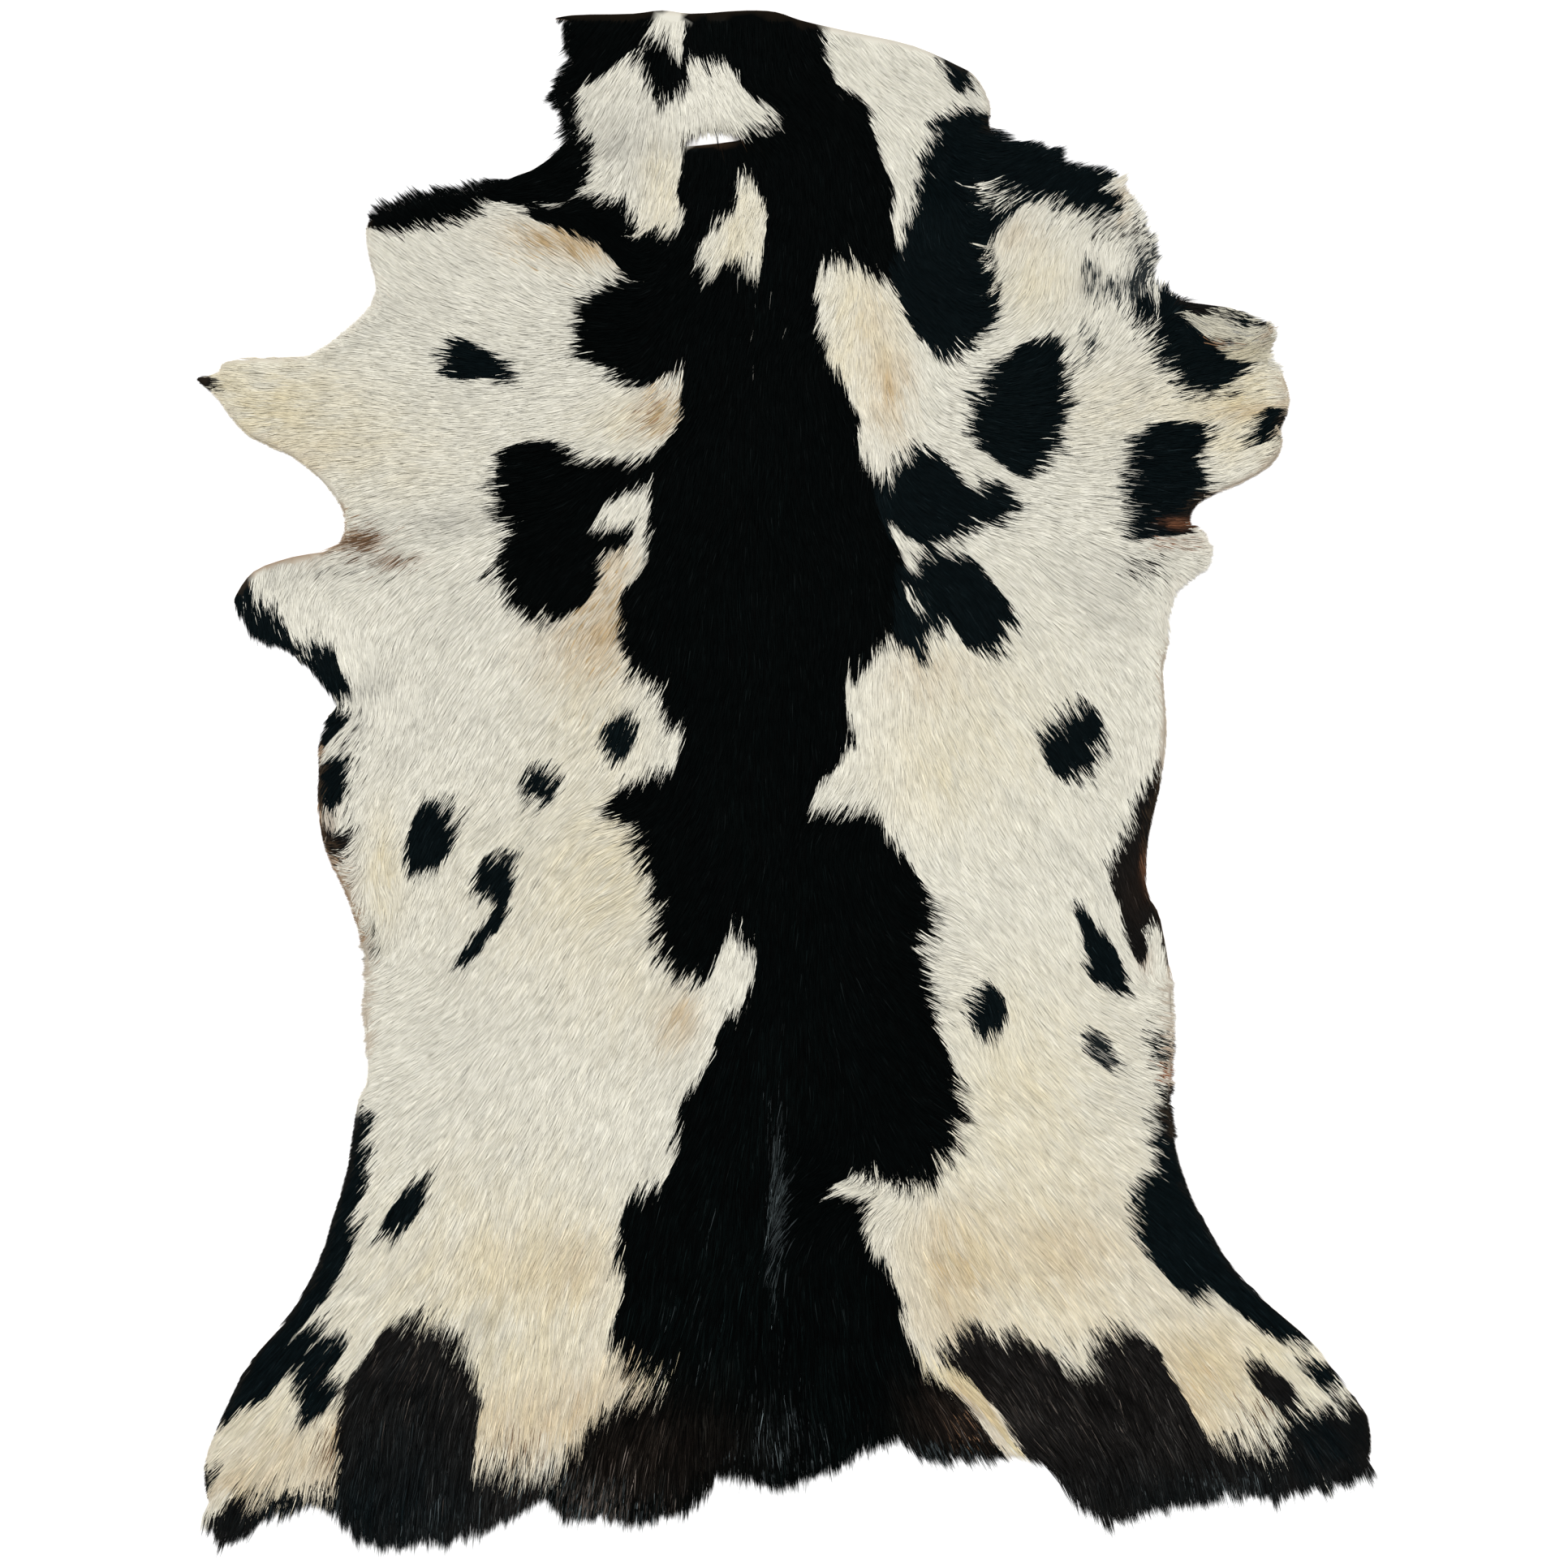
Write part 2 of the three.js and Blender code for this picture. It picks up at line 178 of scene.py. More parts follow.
# The rim of the skin in millimetres from the middle, clockwise from the left end of the neck edge.
# Columns: name, how far hair reaches past the rim, how much of the leather shows along it, points.
RIM = [
    ("neck edge", 0, 0.25, [
        (-141, 470), (-131, 472), (-93, 473), (-75, 475), (-58, 473), (-23, 475), (-5, 474), (10, 469),
        (40, 462), (80, 453), (107, 441), (116, 436), (122, 428), (127, 415), (126, 406),
    ]),
    ("right shoulder", 8, 0, [
        (129, 398), (140, 392), (165, 388), (168, 382), (174, 377), (194, 375), (204, 371), (211, 359),
        (219, 343), (225, 330), (227, 320), (224, 312), (226, 304),
    ]),
    ("right foreleg, upper edge", 4, 0, [
        (235, 301), (245, 296), (258, 294), (272, 292), (280, 290), (286, 287), (289, 283), (300, 281),
        (301, 274), (298, 265), (299, 257),
    ]),
    ("right foreleg, lower edge", 1, 0.5, [
        (307, 250), (311, 236), (309, 225), (305, 217), (307, 209), (302, 198), (287, 187), (260, 175),
        (252, 168), (250, 160),
    ]),
    ("right elbow", 3, 0.1, [
        (252, 156), (258, 153), (262, 145), (261, 134), (253, 127), (241, 119), (238, 109), (234, 97),
    ]),
    ("right flank", 1, 0.55, [
        (236, 85), (233, 68), (235, 36), (232, 2), (224, -35), (222, -54), (223, -69), (230, -80),
        (236, -106),
    ]),
    ("right belly", 3, 0.5, [(238, -124), (239, -150), (238, -186), (237, -202)]),
    ("right hind leg, outer edge", 1, 0.1, [
        (240, -222), (248, -251), (262, -279), (282, -308), (307, -330), (324, -345), (341, -368),
        (357, -389), (361, -404),
    ]),
    ("right hind leg, hem", 13, 0, [
        (359, -418), (340, -426), (300, -435), (280, -432), (262, -435), (227, -441), (198, -449),
    ]),
    ("right hind leg, inner edge", 9, 0, [(187, -443), (174, -426), (166, -418), (154, -413)]),
    ("rump, right half", 12, 0, [
        (137, -411), (120, -409), (87, -410), (74, -401), (48, -402), (38, -411), (12, -423), (-3, -427),
    ]),
    ("rump, left half", 12, 0, [
        (-18, -424), (-33, -420), (-44, -422), (-53, -429), (-64, -445), (-103, -447), (-135, -445),
        (-143, -438), (-152, -438),
    ]),
    ("left hind leg, hem", 12, 0, [
        (-164, -444), (-190, -452), (-203, -460), (-218, -463), (-254, -463), (-261, -456), (-272, -445),
        (-286, -440), (-304, -441), (-318, -447), (-335, -462), (-344, -463),
    ]),
    ("left hind leg, outer edge", 1, 0.15, [
        (-352, -451), (-356, -436), (-356, -420), (-346, -393), (-332, -365), (-324, -352), (-303, -329),
        (-287, -299), (-276, -265), (-268, -238), (-262, -197), (-257, -188),
    ]),
    ("left belly", 3, 0.5, [(-256, -172), (-258, -140), (-257, -112)]),
    ("left flank", 1, 0.9, [(-260, -100), (-267, -76), (-282, -42), (-287, -10), (-286, 8)]),
    ("left flank, notched edge", 4, 0, [
        (-286, 22), (-281, 33), (-281, 40), (-273, 47), (-283, 62), (-300, 78),
    ]),
    ("left flank flap", 6, 0, [(-312, 85), (-326, 90), (-332, 101), (-339, 110)]),
    ("left flank flap, upper edge", 1, 0.8, [
        (-337, 116), (-327, 129), (-303, 138), (-276, 144), (-270, 157),
    ]),
    ("left foreleg", 1, 0.2, [
        (-273, 170), (-285, 186), (-304, 201), (-329, 213), (-341, 225), (-348, 235), (-353, 241),
        (-362, 248), (-355, 249), (-348, 252), (-346, 257), (-313, 260), (-294, 261), (-273, 275),
        (-255, 292), (-251, 304), (-255, 322), (-257, 340),
    ]),
    ("left shoulder", 10, 0, [
        (-255, 345), (-245, 350), (-232, 355), (-205, 361), (-192, 362), (-165, 373), (-152, 378),
        (-134, 392), (-129, 398),
    ]),
    ("left neck edge", 6, 0, [
        (-134, 408), (-141, 422), (-138, 432), (-130, 442), (-132, 458), (-131, 466), (-133, 469),
    ]),
]

# The cut near the neck, on the chart.
SLIT = [
    (835, 181), (840, 172), (850, 165), (862, 161), (877, 159), (892, 160), (906, 163), (916, 167),
    (922, 170), (905, 174), (885, 176), (860, 179),
]

# How the hair grows. Columns: x and y on the chart, heading in degrees from +X, length in chart units.
GROWTH = [
    # Neck
    (930, 40, -92, 24), (760, 50, -122, 22), (700, 100, -165, 20), (740, 120, -112, 20),
    (830, 150, -94, 20), (870, 100, -72, 20), (930, 130, -42, 20), (800, 220, -98, 22), (1050, 60, -52, 22),
    (1100, 90, -32, 20), (1180, 95, -48, 16), (1130, 170, -58, 20), (1105, 250, -78, 22),
    (1010, 200, -86, 24), (925, 250, -102, 20), (875, 320, -118, 20),
    # Left shoulder and foreleg
    (690, 180, -146, 20), (650, 205, -150, 18), (720, 240, -156, 20), (650, 252, 178, 20),
    (600, 240, 138, 18), (520, 270, 132, 18), (480, 330, 142, 18), (560, 340, 158, 20), (640, 335, 156, 20),
    (690, 340, 150, 20), (660, 300, 146, 20), (720, 300, 136, 20), (748, 326, 124, 18), (705, 385, 178, 20),
    (760, 400, 180, 22), (720, 440, -172, 20), (800, 500, -140, 22), (600, 420, 164, 20),
    (520, 470, 172, 20), (400, 480, 178, 20), (300, 490, 178, 18), (250, 465, 172, 14),
    (330, 550, -166, 18), (450, 560, -176, 20), (560, 560, -178, 20), (650, 600, -176, 24),
    (700, 530, -165, 22),
    # Left armpit, flap and upper flank
    (600, 690, -146, 24), (660, 750, -124, 24), (540, 640, -168, 22), (450, 640, -168, 18),
    (440, 664, -170, 18), (440, 695, -150, 18), (500, 720, -128, 22), (330, 695, -100, 16),
    (355, 702, -115, 16), (400, 706, -130, 18), (385, 742, -97, 20), (350, 760, -68, 20),
    (320, 752, -74, 20), (312, 785, -95, 18), (375, 785, -70, 20), (400, 812, -76, 20), (414, 845, -62, 18),
    (440, 805, -76, 20), (445, 850, -84, 18), (425, 868, -160, 16), (720, 660, -142, 22),
    (770, 650, -118, 20), (700, 800, -118, 24), (770, 800, -128, 24), (480, 800, -108, 24),
    # Left flank
    (600, 850, -121, 24), (500, 900, -112, 24), (415, 895, -132, 18), (412, 940, -138, 18),
    (416, 972, -106, 18), (405, 1000, -72, 16), (450, 930, -118, 20), (700, 930, -124, 24),
    (800, 900, -112, 24), (500, 1020, -114, 24), (425, 1028, 172, 16), (430, 1068, 148, 16),
    (462, 1000, -100, 20), (460, 1040, -84, 20), (470, 1085, -62, 20), (484, 1125, -76, 20),
    (482, 1155, -100, 18), (468, 1182, -140, 16), (448, 1186, 170, 14), (442, 1140, 140, 14),
    (600, 1020, -124, 24), (720, 1050, -126, 26), (770, 1010, -162, 24), (790, 1100, -148, 26),
    (480, 1120, -116, 24), (510, 1090, -112, 22), (455, 1215, -176, 16), (465, 1260, -146, 18),
    (462, 1300, -160, 18), (530, 1250, -146, 20), (620, 1200, -124, 26), (720, 1200, -118, 26),
    (840, 1180, -126, 26), (905, 1190, -108, 22), (820, 1280, -116, 26), (600, 1350, -120, 26),
    (500, 1400, -132, 22), (740, 1380, -110, 28), (840, 1400, -118, 28),
    # Left hind leg
    (440, 1480, -128, 22), (520, 1500, -120, 26), (640, 1500, -108, 30), (760, 1500, -108, 32),
    (400, 1600, -134, 24), (330, 1720, -136, 26), (280, 1790, -134, 26), (460, 1640, -122, 30),
    (560, 1620, -112, 34), (680, 1640, -102, 36), (380, 1700, -124, 28), (500, 1740, -98, 38),
    (640, 1740, -98, 38), (350, 1830, -108, 34), (450, 1850, -96, 40), (560, 1850, -96, 40),
    (280, 1860, -112, 30), (720, 1800, -98, 40),
    # Spine and rump
    (930, 330, -90, 28), (850, 420, -100, 26), (930, 560, -90, 28), (850, 600, -104, 26),
    (930, 760, -90, 28), (840, 800, -106, 26), (930, 960, -90, 28), (860, 1040, -114, 26),
    (950, 1130, -90, 30), (950, 1300, -92, 36), (930, 1450, -92, 44), (850, 1560, -104, 38),
    (960, 1600, -90, 46), (800, 1680, -110, 40), (900, 1720, -95, 46), (990, 1720, -86, 44),
    (800, 1820, -98, 42), (930, 1800, -92, 42), (1050, 1740, -82, 40), (1110, 1640, -76, 36),
    # Right of the spine
    (1015, 380, -112, 20), (1060, 440, -88, 22), (1110, 480, -72, 22), (1060, 560, -88, 22),
    (1020, 700, -84, 26), (1060, 790, -98, 24), (1080, 860, -84, 24), (1050, 980, -122, 22),
    (1060, 1080, -74, 26), (1130, 1110, -30, 26), (1100, 1260, -62, 28), (1150, 1200, -14, 24),
    (1150, 1360, -34, 28), (1100, 1420, -62, 28), (1085, 1460, -150, 20), (1045, 1466, -168, 18),
    (1022, 1480, -150, 16), (1060, 1500, -118, 24), (1040, 1540, -80, 32),
    # Right shoulder and foreleg
    (1180, 170, -20, 18), (1235, 178, 8, 18), (1268, 180, 35, 18), (1300, 190, 10, 18), (1345, 203, 26, 18),
    (1375, 213, 18, 16), (1350, 230, 26, 18), (1385, 238, 38, 14), (1150, 260, -84, 20),
    (1180, 320, -40, 20), (1170, 380, -40, 20), (1150, 425, -70, 20), (1215, 230, 22, 20),
    (1250, 250, 30, 18), (1310, 255, 38, 20), (1355, 275, 38, 20), (1240, 290, 64, 18), (1222, 320, 78, 18),
    (1228, 370, 48, 20), (1215, 405, 20, 20), (1270, 310, 75, 20), (1300, 300, 60, 20), (1330, 292, 50, 20),
    (1385, 285, 36, 18), (1405, 272, 38, 14), (1418, 300, 30, 14), (1424, 325, 28, 14), (1410, 335, 42, 16),
    (1280, 360, 86, 20), (1310, 370, 90, 20), (1342, 338, 102, 18), (1365, 350, 98, 18),
    (1390, 355, 66, 18), (1402, 380, 98, 18), (1420, 380, 118, 16), (1345, 400, 74, 18),
    (1340, 425, 58, 20), (1380, 420, 46, 20), (1425, 432, 32, 20), (1432, 456, 18, 20),
    (1460, 400, -60, 16), (1450, 476, 12, 20), (1490, 486, 4, 20), (1520, 468, 14, 18),
    (1480, 388, -16, 16), (1515, 398, -30, 14), (1500, 415, -8, 14), (1530, 428, 26, 14),
    (1550, 410, 32, 14), (1560, 450, -10, 16), (1530, 505, 6, 20), (1575, 505, -8, 14), (1558, 532, 40, 16),
    (1490, 530, 22, 20), (1520, 575, 18, 16), (1200, 470, 8, 20), (1195, 505, -12, 20),
    (1205, 550, -28, 20), (1240, 440, 30, 20), (1275, 415, 48, 20), (1305, 425, 52, 20),
    (1325, 460, 36, 22), (1328, 500, 16, 22), (1325, 540, 6, 22), (1300, 578, -14, 22),
    (1250, 592, -14, 22), (1255, 510, 4, 22), (1380, 480, 20, 22), (1385, 545, 10, 22), (1385, 580, -4, 22),
    (1385, 620, -2, 22), (1388, 650, -12, 20), (1440, 520, 6, 20), (1440, 600, -2, 22),
    (1160, 580, -40, 22), (1175, 500, -30, 22), (1225, 610, -26, 22), (1250, 622, -10, 20),
    (1330, 620, -8, 22), (1450, 640, 4, 18), (1460, 662, 5, 18), (1480, 684, -6, 16), (1400, 672, -12, 20),
    (1440, 692, -26, 18),
    # Right flank
    (1420, 712, -54, 20), (1440, 738, -84, 16), (1390, 705, -42, 22), (1330, 700, -34, 24),
    (1250, 700, -44, 24), (1180, 680, -42, 22), (1190, 740, -56, 24), (1130, 780, -66, 24),
    (1160, 860, -70, 24), (1250, 840, -60, 24), (1350, 830, -58, 24), (1415, 780, -52, 20),
    (1200, 960, -64, 24), (1320, 940, -60, 24), (1410, 930, -78, 20), (1140, 1000, -72, 24),
    (1200, 1080, -54, 26), (1300, 1060, -60, 26), (1390, 1060, -74, 20), (1380, 1150, -60, 20),
    (1430, 1160, -96, 14), (1430, 1230, -14, 16), (1425, 1300, -12, 16), (1360, 1260, -34, 20),
    (1280, 1200, -54, 24), (1220, 1250, -78, 24), (1280, 1360, -48, 28), (1380, 1360, -32, 24),
    (1200, 1440, -48, 30), (1430, 1420, -38, 20),
    # Right hind leg
    (1120, 1540, -66, 32), (1200, 1560, -56, 32), (1300, 1500, -50, 30), (1380, 1540, -44, 30),
    (1450, 1540, -46, 24), (1280, 1620, -56, 34), (1400, 1640, -52, 34), (1500, 1620, -42, 28),
    (1580, 1680, -42, 26), (1650, 1750, -52, 24), (1170, 1640, -62, 32), (1180, 1700, -50, 36),
    (1240, 1770, -52, 38), (1290, 1700, -62, 36), (1400, 1730, -64, 38), (1350, 1820, -74, 40),
    (1450, 1820, -76, 40), (1520, 1760, -64, 36), (1560, 1820, -74, 38), (1640, 1800, -70, 32),
    (1150, 1770, -66, 38),
]

# Colours of the hair, as they show on a screen.
SHADES = {
    "white": (216, 213, 200),
    "black": (2, 4, 4),
    "night": (7, 14, 16),
    "umber": (20, 19, 18),
    "tan": (182, 157, 118),
    "ochre": (160, 128, 86),
    "cream": (210, 198, 164),
    "rust": (134, 88, 62),
    "brown": (138, 106, 78),
    "sable": (30, 24, 20),
    "curl": (188, 184, 168),
    "grey": (150, 148, 140),
    # Dark grey: real hair among the pale ones, painted sheen among the dark ones.
    "steel_grey_and_sheen": (42, 47, 48),
    "bark": (104, 80, 60),
    "smoke": (54, 49, 45),
}
LEATHER = (184, 148, 112)

# Patches of colour, later rows over earlier ones. Columns: name, shade, outline on the chart.
PATCHES = [
    ("back", "black", [
        (670, 5), (800, 5), (900, 0), (1000, 18), (1010, 32), (1015, 60), (1022, 85), (1030, 105),
        (1040, 115), (1055, 120), (1065, 130), (1072, 145), (1075, 165), (1080, 185), (1085, 205),
        (1093, 220), (1100, 240), (1097, 260), (1095, 280), (1100, 300), (1105, 315), (1108, 345),
        (1095, 345), (1080, 340), (1065, 335), (1055, 318), (1040, 330), (1025, 325), (1010, 320),
        (1003, 340), (1000, 360), (1003, 380), (1002, 400), (1005, 420), (1012, 435), (1020, 450),
        (1030, 462), (1038, 475), (1045, 495), (1053, 505), (1058, 520), (1055, 540), (1053, 560),
        (1060, 575), (1075, 585), (1088, 592), (1098, 600), (1110, 640), (1120, 680), (1128, 715),
        (1135, 760), (1136, 812), (1124, 805), (1110, 795), (1095, 783), (1089, 783), (1087, 797),
        (1075, 806), (1068, 816), (1060, 830), (1050, 836), (1042, 828), (1037, 850), (1038, 880),
        (1045, 895), (1050, 905), (1052, 925), (1045, 920), (1035, 930), (1030, 945), (1015, 955),
        (1005, 965), (998, 975), (997, 995), (998, 1005), (1010, 1005), (1045, 1005), (1060, 1008),
        (1075, 1010), (1085, 1020), (1092, 1035), (1100, 1050), (1110, 1058), (1122, 1070), (1132, 1085),
        (1140, 1100), (1148, 1108), (1145, 1125), (1150, 1145), (1140, 1160), (1130, 1175), (1138, 1190),
        (1145, 1205), (1148, 1225), (1150, 1245), (1155, 1262), (1160, 1285), (1165, 1303), (1175, 1320),
        (1182, 1340), (1185, 1360), (1190, 1380), (1178, 1390), (1180, 1405), (1170, 1420), (1165, 1435),
        (1150, 1450), (1148, 1460), (1120, 1465), (1100, 1460), (1070, 1452), (1055, 1451), (1046, 1447),
        (1035, 1452), (1025, 1460), (1017, 1471), (1011, 1485), (1020, 1481), (1030, 1478), (1045, 1478),
        (1060, 1480), (1065, 1495), (1063, 1515), (1068, 1535), (1075, 1550), (1088, 1560), (1095, 1575),
        (1100, 1590), (1108, 1605), (1115, 1615), (1112, 1628), (1107, 1640), (1115, 1657), (1125, 1672),
        (1133, 1685), (1150, 1700), (1165, 1710), (1180, 1720), (1190, 1735), (1200, 1755), (1215, 1775),
        (1235, 1795), (1260, 1815), (1250, 1870), (1000, 1900), (640, 1920), (645, 1825), (660, 1828),
        (675, 1830), (682, 1820), (690, 1808), (700, 1795), (710, 1785), (725, 1770), (735, 1758),
        (745, 1745), (755, 1738), (770, 1730), (785, 1728), (805, 1725), (825, 1720), (785, 1700),
        (775, 1690), (765, 1675), (757, 1660), (757, 1645), (760, 1625), (768, 1608), (772, 1590),
        (772, 1575), (757, 1560), (762, 1545), (763, 1525), (765, 1505), (770, 1490), (778, 1480),
        (785, 1470), (800, 1467), (820, 1465), (825, 1450), (833, 1435), (840, 1420), (833, 1405),
        (835, 1390), (838, 1375), (843, 1360), (850, 1350), (860, 1340), (868, 1330), (873, 1318),
        (880, 1305), (882, 1290), (887, 1275), (893, 1262), (900, 1255), (912, 1255), (917, 1245),
        (922, 1230), (928, 1215), (935, 1200), (935, 1185), (930, 1170), (920, 1162), (912, 1155),
        (900, 1152), (887, 1165), (880, 1180), (875, 1195), (868, 1205), (858, 1210), (845, 1205),
        (830, 1200), (820, 1190), (812, 1175), (805, 1160), (808, 1145), (812, 1125), (800, 1110),
        (802, 1095), (797, 1080), (790, 1065), (785, 1050), (780, 1035), (778, 1015), (760, 1010),
        (740, 1003), (748, 992), (755, 982), (768, 975), (790, 967), (805, 962), (825, 953), (835, 948),
        (843, 930), (845, 908), (838, 897), (832, 903), (822, 900), (818, 880), (815, 865), (810, 850),
        (800, 840), (785, 835), (778, 820), (768, 812), (770, 800), (765, 785), (763, 770), (768, 750),
        (768, 730), (775, 720), (787, 715), (797, 705), (800, 690), (803, 670), (800, 655), (803, 640),
        (805, 620), (800, 598), (785, 600), (770, 605), (755, 612), (745, 615), (735, 632), (728, 648),
        (740, 655), (728, 670), (730, 690), (738, 700), (732, 720), (722, 735), (708, 748), (695, 760),
        (680, 765), (665, 765), (650, 760), (635, 750), (622, 735), (612, 718), (605, 705), (615, 690),
        (625, 675), (622, 660), (622, 645), (610, 630), (605, 610), (608, 590), (612, 570), (625, 555),
        (645, 548), (665, 546), (685, 549), (700, 558), (712, 574), (730, 574), (750, 571), (765, 573),
        (785, 575), (800, 567), (815, 558), (825, 545), (832, 530), (838, 505), (843, 485), (845, 465),
        (840, 450), (825, 462), (810, 470), (790, 476), (765, 472), (752, 462), (738, 450), (725, 443),
        (710, 438), (713, 425), (712, 410), (713, 395), (714, 380), (722, 367), (735, 355), (750, 352),
        (765, 345), (768, 332), (757, 318), (745, 305), (730, 292), (715, 287), (700, 283), (680, 275),
        (665, 270), (650, 262), (640, 252), (620, 245), (600, 243), (590, 245), (585, 255), (575, 265),
        (565, 268), (550, 272), (535, 275), (520, 278), (505, 280), (490, 285), (470, 280), (430, 275),
        (500, 220), (640, 160), (660, 100),
    ]),
    ("neck", "white", [
        (785, 65), (790, 80), (798, 92), (802, 108), (808, 120), (818, 122), (828, 113), (838, 108),
        (845, 95), (850, 75), (860, 75), (870, 85), (895, 83), (905, 95), (915, 110), (925, 120),
        (935, 130), (945, 128), (955, 135), (960, 148), (955, 155), (925, 160), (915, 167), (905, 170),
        (860, 171), (842, 176), (837, 184), (840, 195), (838, 210), (835, 225), (833, 245), (840, 270),
        (840, 285), (800, 285), (785, 295), (783, 275), (775, 262), (770, 250), (755, 248), (735, 245),
        (715, 238), (722, 225), (728, 210), (730, 190), (728, 180), (712, 165), (708, 120), (715, 105),
        (735, 97), (760, 80),
    ]),
    ("neck wedge", "white", [
        (820, 8), (843, 8), (843, 28), (842, 45), (839, 60), (842, 76), (832, 68), (824, 56), (812, 50),
        (800, 50), (792, 46), (796, 38), (803, 28), (812, 18),
    ]),
    ("neck tongue", "black", [
        (786, 52), (800, 54), (820, 60), (835, 75), (845, 88), (845, 104), (838, 116), (832, 124),
        (826, 120), (818, 130), (808, 122), (800, 108), (795, 95), (788, 78), (778, 66),
    ]),
    ("comma", "white", [
        (906, 220), (922, 222), (932, 236), (939, 252), (943, 268), (943, 290), (940, 310), (937, 330),
        (930, 345), (915, 325), (900, 320), (890, 330), (875, 345), (862, 330), (857, 315), (865, 300),
        (875, 285), (888, 275), (900, 265), (908, 252), (910, 238), (906, 226),
    ]),
    ("hook spot", "black", [
        (738, 655), (750, 657), (765, 656), (776, 648), (778, 662), (772, 674), (758, 678), (745, 683),
        (733, 684), (724, 668),
    ]),
    ("right neck tip", "night", [
        (1168, 74), (1178, 79), (1189, 85), (1193, 98), (1193, 110), (1187, 111), (1180, 104), (1175, 94),
        (1170, 84),
    ]),
    ("right shoulder", "night", [
        (1140, 205), (1148, 190), (1155, 165), (1160, 150), (1180, 140), (1240, 150), (1290, 160),
        (1310, 180), (1350, 185), (1370, 213), (1352, 230), (1362, 238), (1375, 242), (1385, 252),
        (1378, 262), (1350, 258), (1320, 255), (1310, 245), (1300, 240), (1280, 240), (1262, 243),
        (1250, 250), (1240, 265), (1228, 275), (1217, 285), (1210, 298), (1214, 312), (1220, 330),
        (1221, 350), (1228, 365), (1225, 380), (1220, 395), (1212, 407), (1200, 418), (1180, 432),
        (1165, 435), (1152, 430), (1140, 418), (1125, 390), (1115, 365), (1108, 350), (1106, 335),
        (1110, 315), (1115, 300), (1120, 285), (1130, 265), (1137, 245), (1138, 225),
    ]),
    ("right foreleg stripe", "night", [
        (1434, 350), (1450, 355), (1453, 370), (1455, 378), (1459, 390), (1467, 402), (1474, 410),
        (1483, 416), (1492, 422), (1498, 432), (1510, 440), (1525, 446), (1540, 449), (1530, 455),
        (1518, 461), (1508, 468), (1503, 475), (1490, 477), (1478, 474), (1466, 470), (1455, 465),
        (1448, 458), (1442, 450), (1438, 440), (1434, 430), (1430, 420), (1428, 410), (1430, 398),
        (1424, 392), (1414, 385), (1409, 375), (1410, 366), (1418, 368), (1426, 380), (1432, 384),
        (1431, 372),
    ]),
    ("right foreleg curl", "curl", [
        (1453, 366), (1462, 360), (1510, 360), (1545, 370), (1575, 390), (1580, 420), (1572, 440),
        (1560, 446), (1548, 446), (1536, 448), (1522, 442), (1510, 436), (1500, 430), (1494, 422),
        (1486, 414), (1478, 408), (1470, 402), (1464, 392), (1458, 382),
    ]),
    ("right foreleg patch", "night", [
        (1395, 545), (1410, 535), (1425, 527), (1445, 525), (1485, 525), (1490, 535), (1480, 550),
        (1478, 565), (1480, 590), (1483, 610), (1478, 620), (1470, 628), (1467, 640), (1468, 650),
        (1430, 655), (1395, 662), (1393, 650), (1400, 635), (1395, 620), (1392, 605), (1393, 590),
        (1395, 575), (1398, 560),
    ]),
    ("right foreleg curl, edge", "umber", [
        (1453, 366), (1462, 366), (1475, 369), (1492, 373), (1506, 378), (1500, 382), (1490, 382),
        (1478, 384), (1466, 380), (1456, 374),
    ]),
    ("right foreleg tip", "night", [
        (1555, 513), (1563, 509), (1576, 508), (1584, 512), (1576, 517), (1568, 522), (1567, 530),
        (1561, 538), (1554, 543), (1548, 545), (1548, 534), (1550, 522),
    ]),
    ("right shoulder spot", "night", [
        (1285, 420), (1300, 420), (1308, 440), (1313, 460), (1312, 500), (1308, 520), (1305, 540),
        (1300, 555), (1290, 568), (1275, 578), (1260, 583), (1245, 572), (1230, 562), (1215, 550),
        (1205, 535), (1203, 515), (1205, 500), (1215, 485), (1222, 470), (1230, 455), (1245, 445),
        (1258, 432), (1270, 425),
    ]),
    ("right rib spot, upper", "night", [
        (1080, 600), (1105, 600), (1108, 585), (1118, 572), (1130, 562), (1145, 562), (1158, 565),
        (1170, 578), (1178, 592), (1188, 605), (1198, 612), (1210, 605), (1220, 595), (1232, 598),
        (1240, 608), (1250, 618), (1258, 622), (1245, 628), (1232, 635), (1220, 640), (1205, 645),
        (1190, 650), (1178, 658), (1160, 662), (1150, 668), (1138, 676), (1120, 680), (1100, 660),
    ]),
    ("right rib spot, lower", "night", [
        (1110, 700), (1135, 700), (1142, 690), (1150, 684), (1158, 690), (1175, 689), (1190, 692),
        (1200, 698), (1208, 708), (1215, 718), (1224, 730), (1234, 742), (1243, 757), (1250, 777),
        (1243, 770), (1237, 768), (1235, 785), (1233, 800), (1226, 806), (1212, 801), (1200, 796),
        (1190, 783), (1180, 770), (1168, 764), (1158, 772), (1145, 776), (1138, 782), (1139, 800),
        (1136, 812), (1110, 790),
    ]),
    ("rib strip", "white", [
        (1093, 644), (1103, 650), (1114, 660), (1126, 670), (1140, 674), (1138, 688), (1130, 695),
        (1122, 712), (1115, 697), (1107, 676), (1098, 657),
    ]),
    ("rib fleck", "white", [
        (1118, 735), (1128, 738), (1136, 744), (1140, 750), (1128, 749), (1120, 743),
    ]),
    ("right flank spot, upper", "night", [
        (1318, 880), (1335, 870), (1350, 885), (1355, 900), (1357, 915), (1342, 940), (1335, 952),
        (1315, 960), (1300, 950), (1295, 935), (1290, 915), (1295, 900), (1310, 898),
    ]),
    ("right flank spot, lower", "night", [
        (1329, 1113), (1334, 1123), (1339, 1136), (1346, 1150), (1362, 1162), (1372, 1176), (1380, 1195),
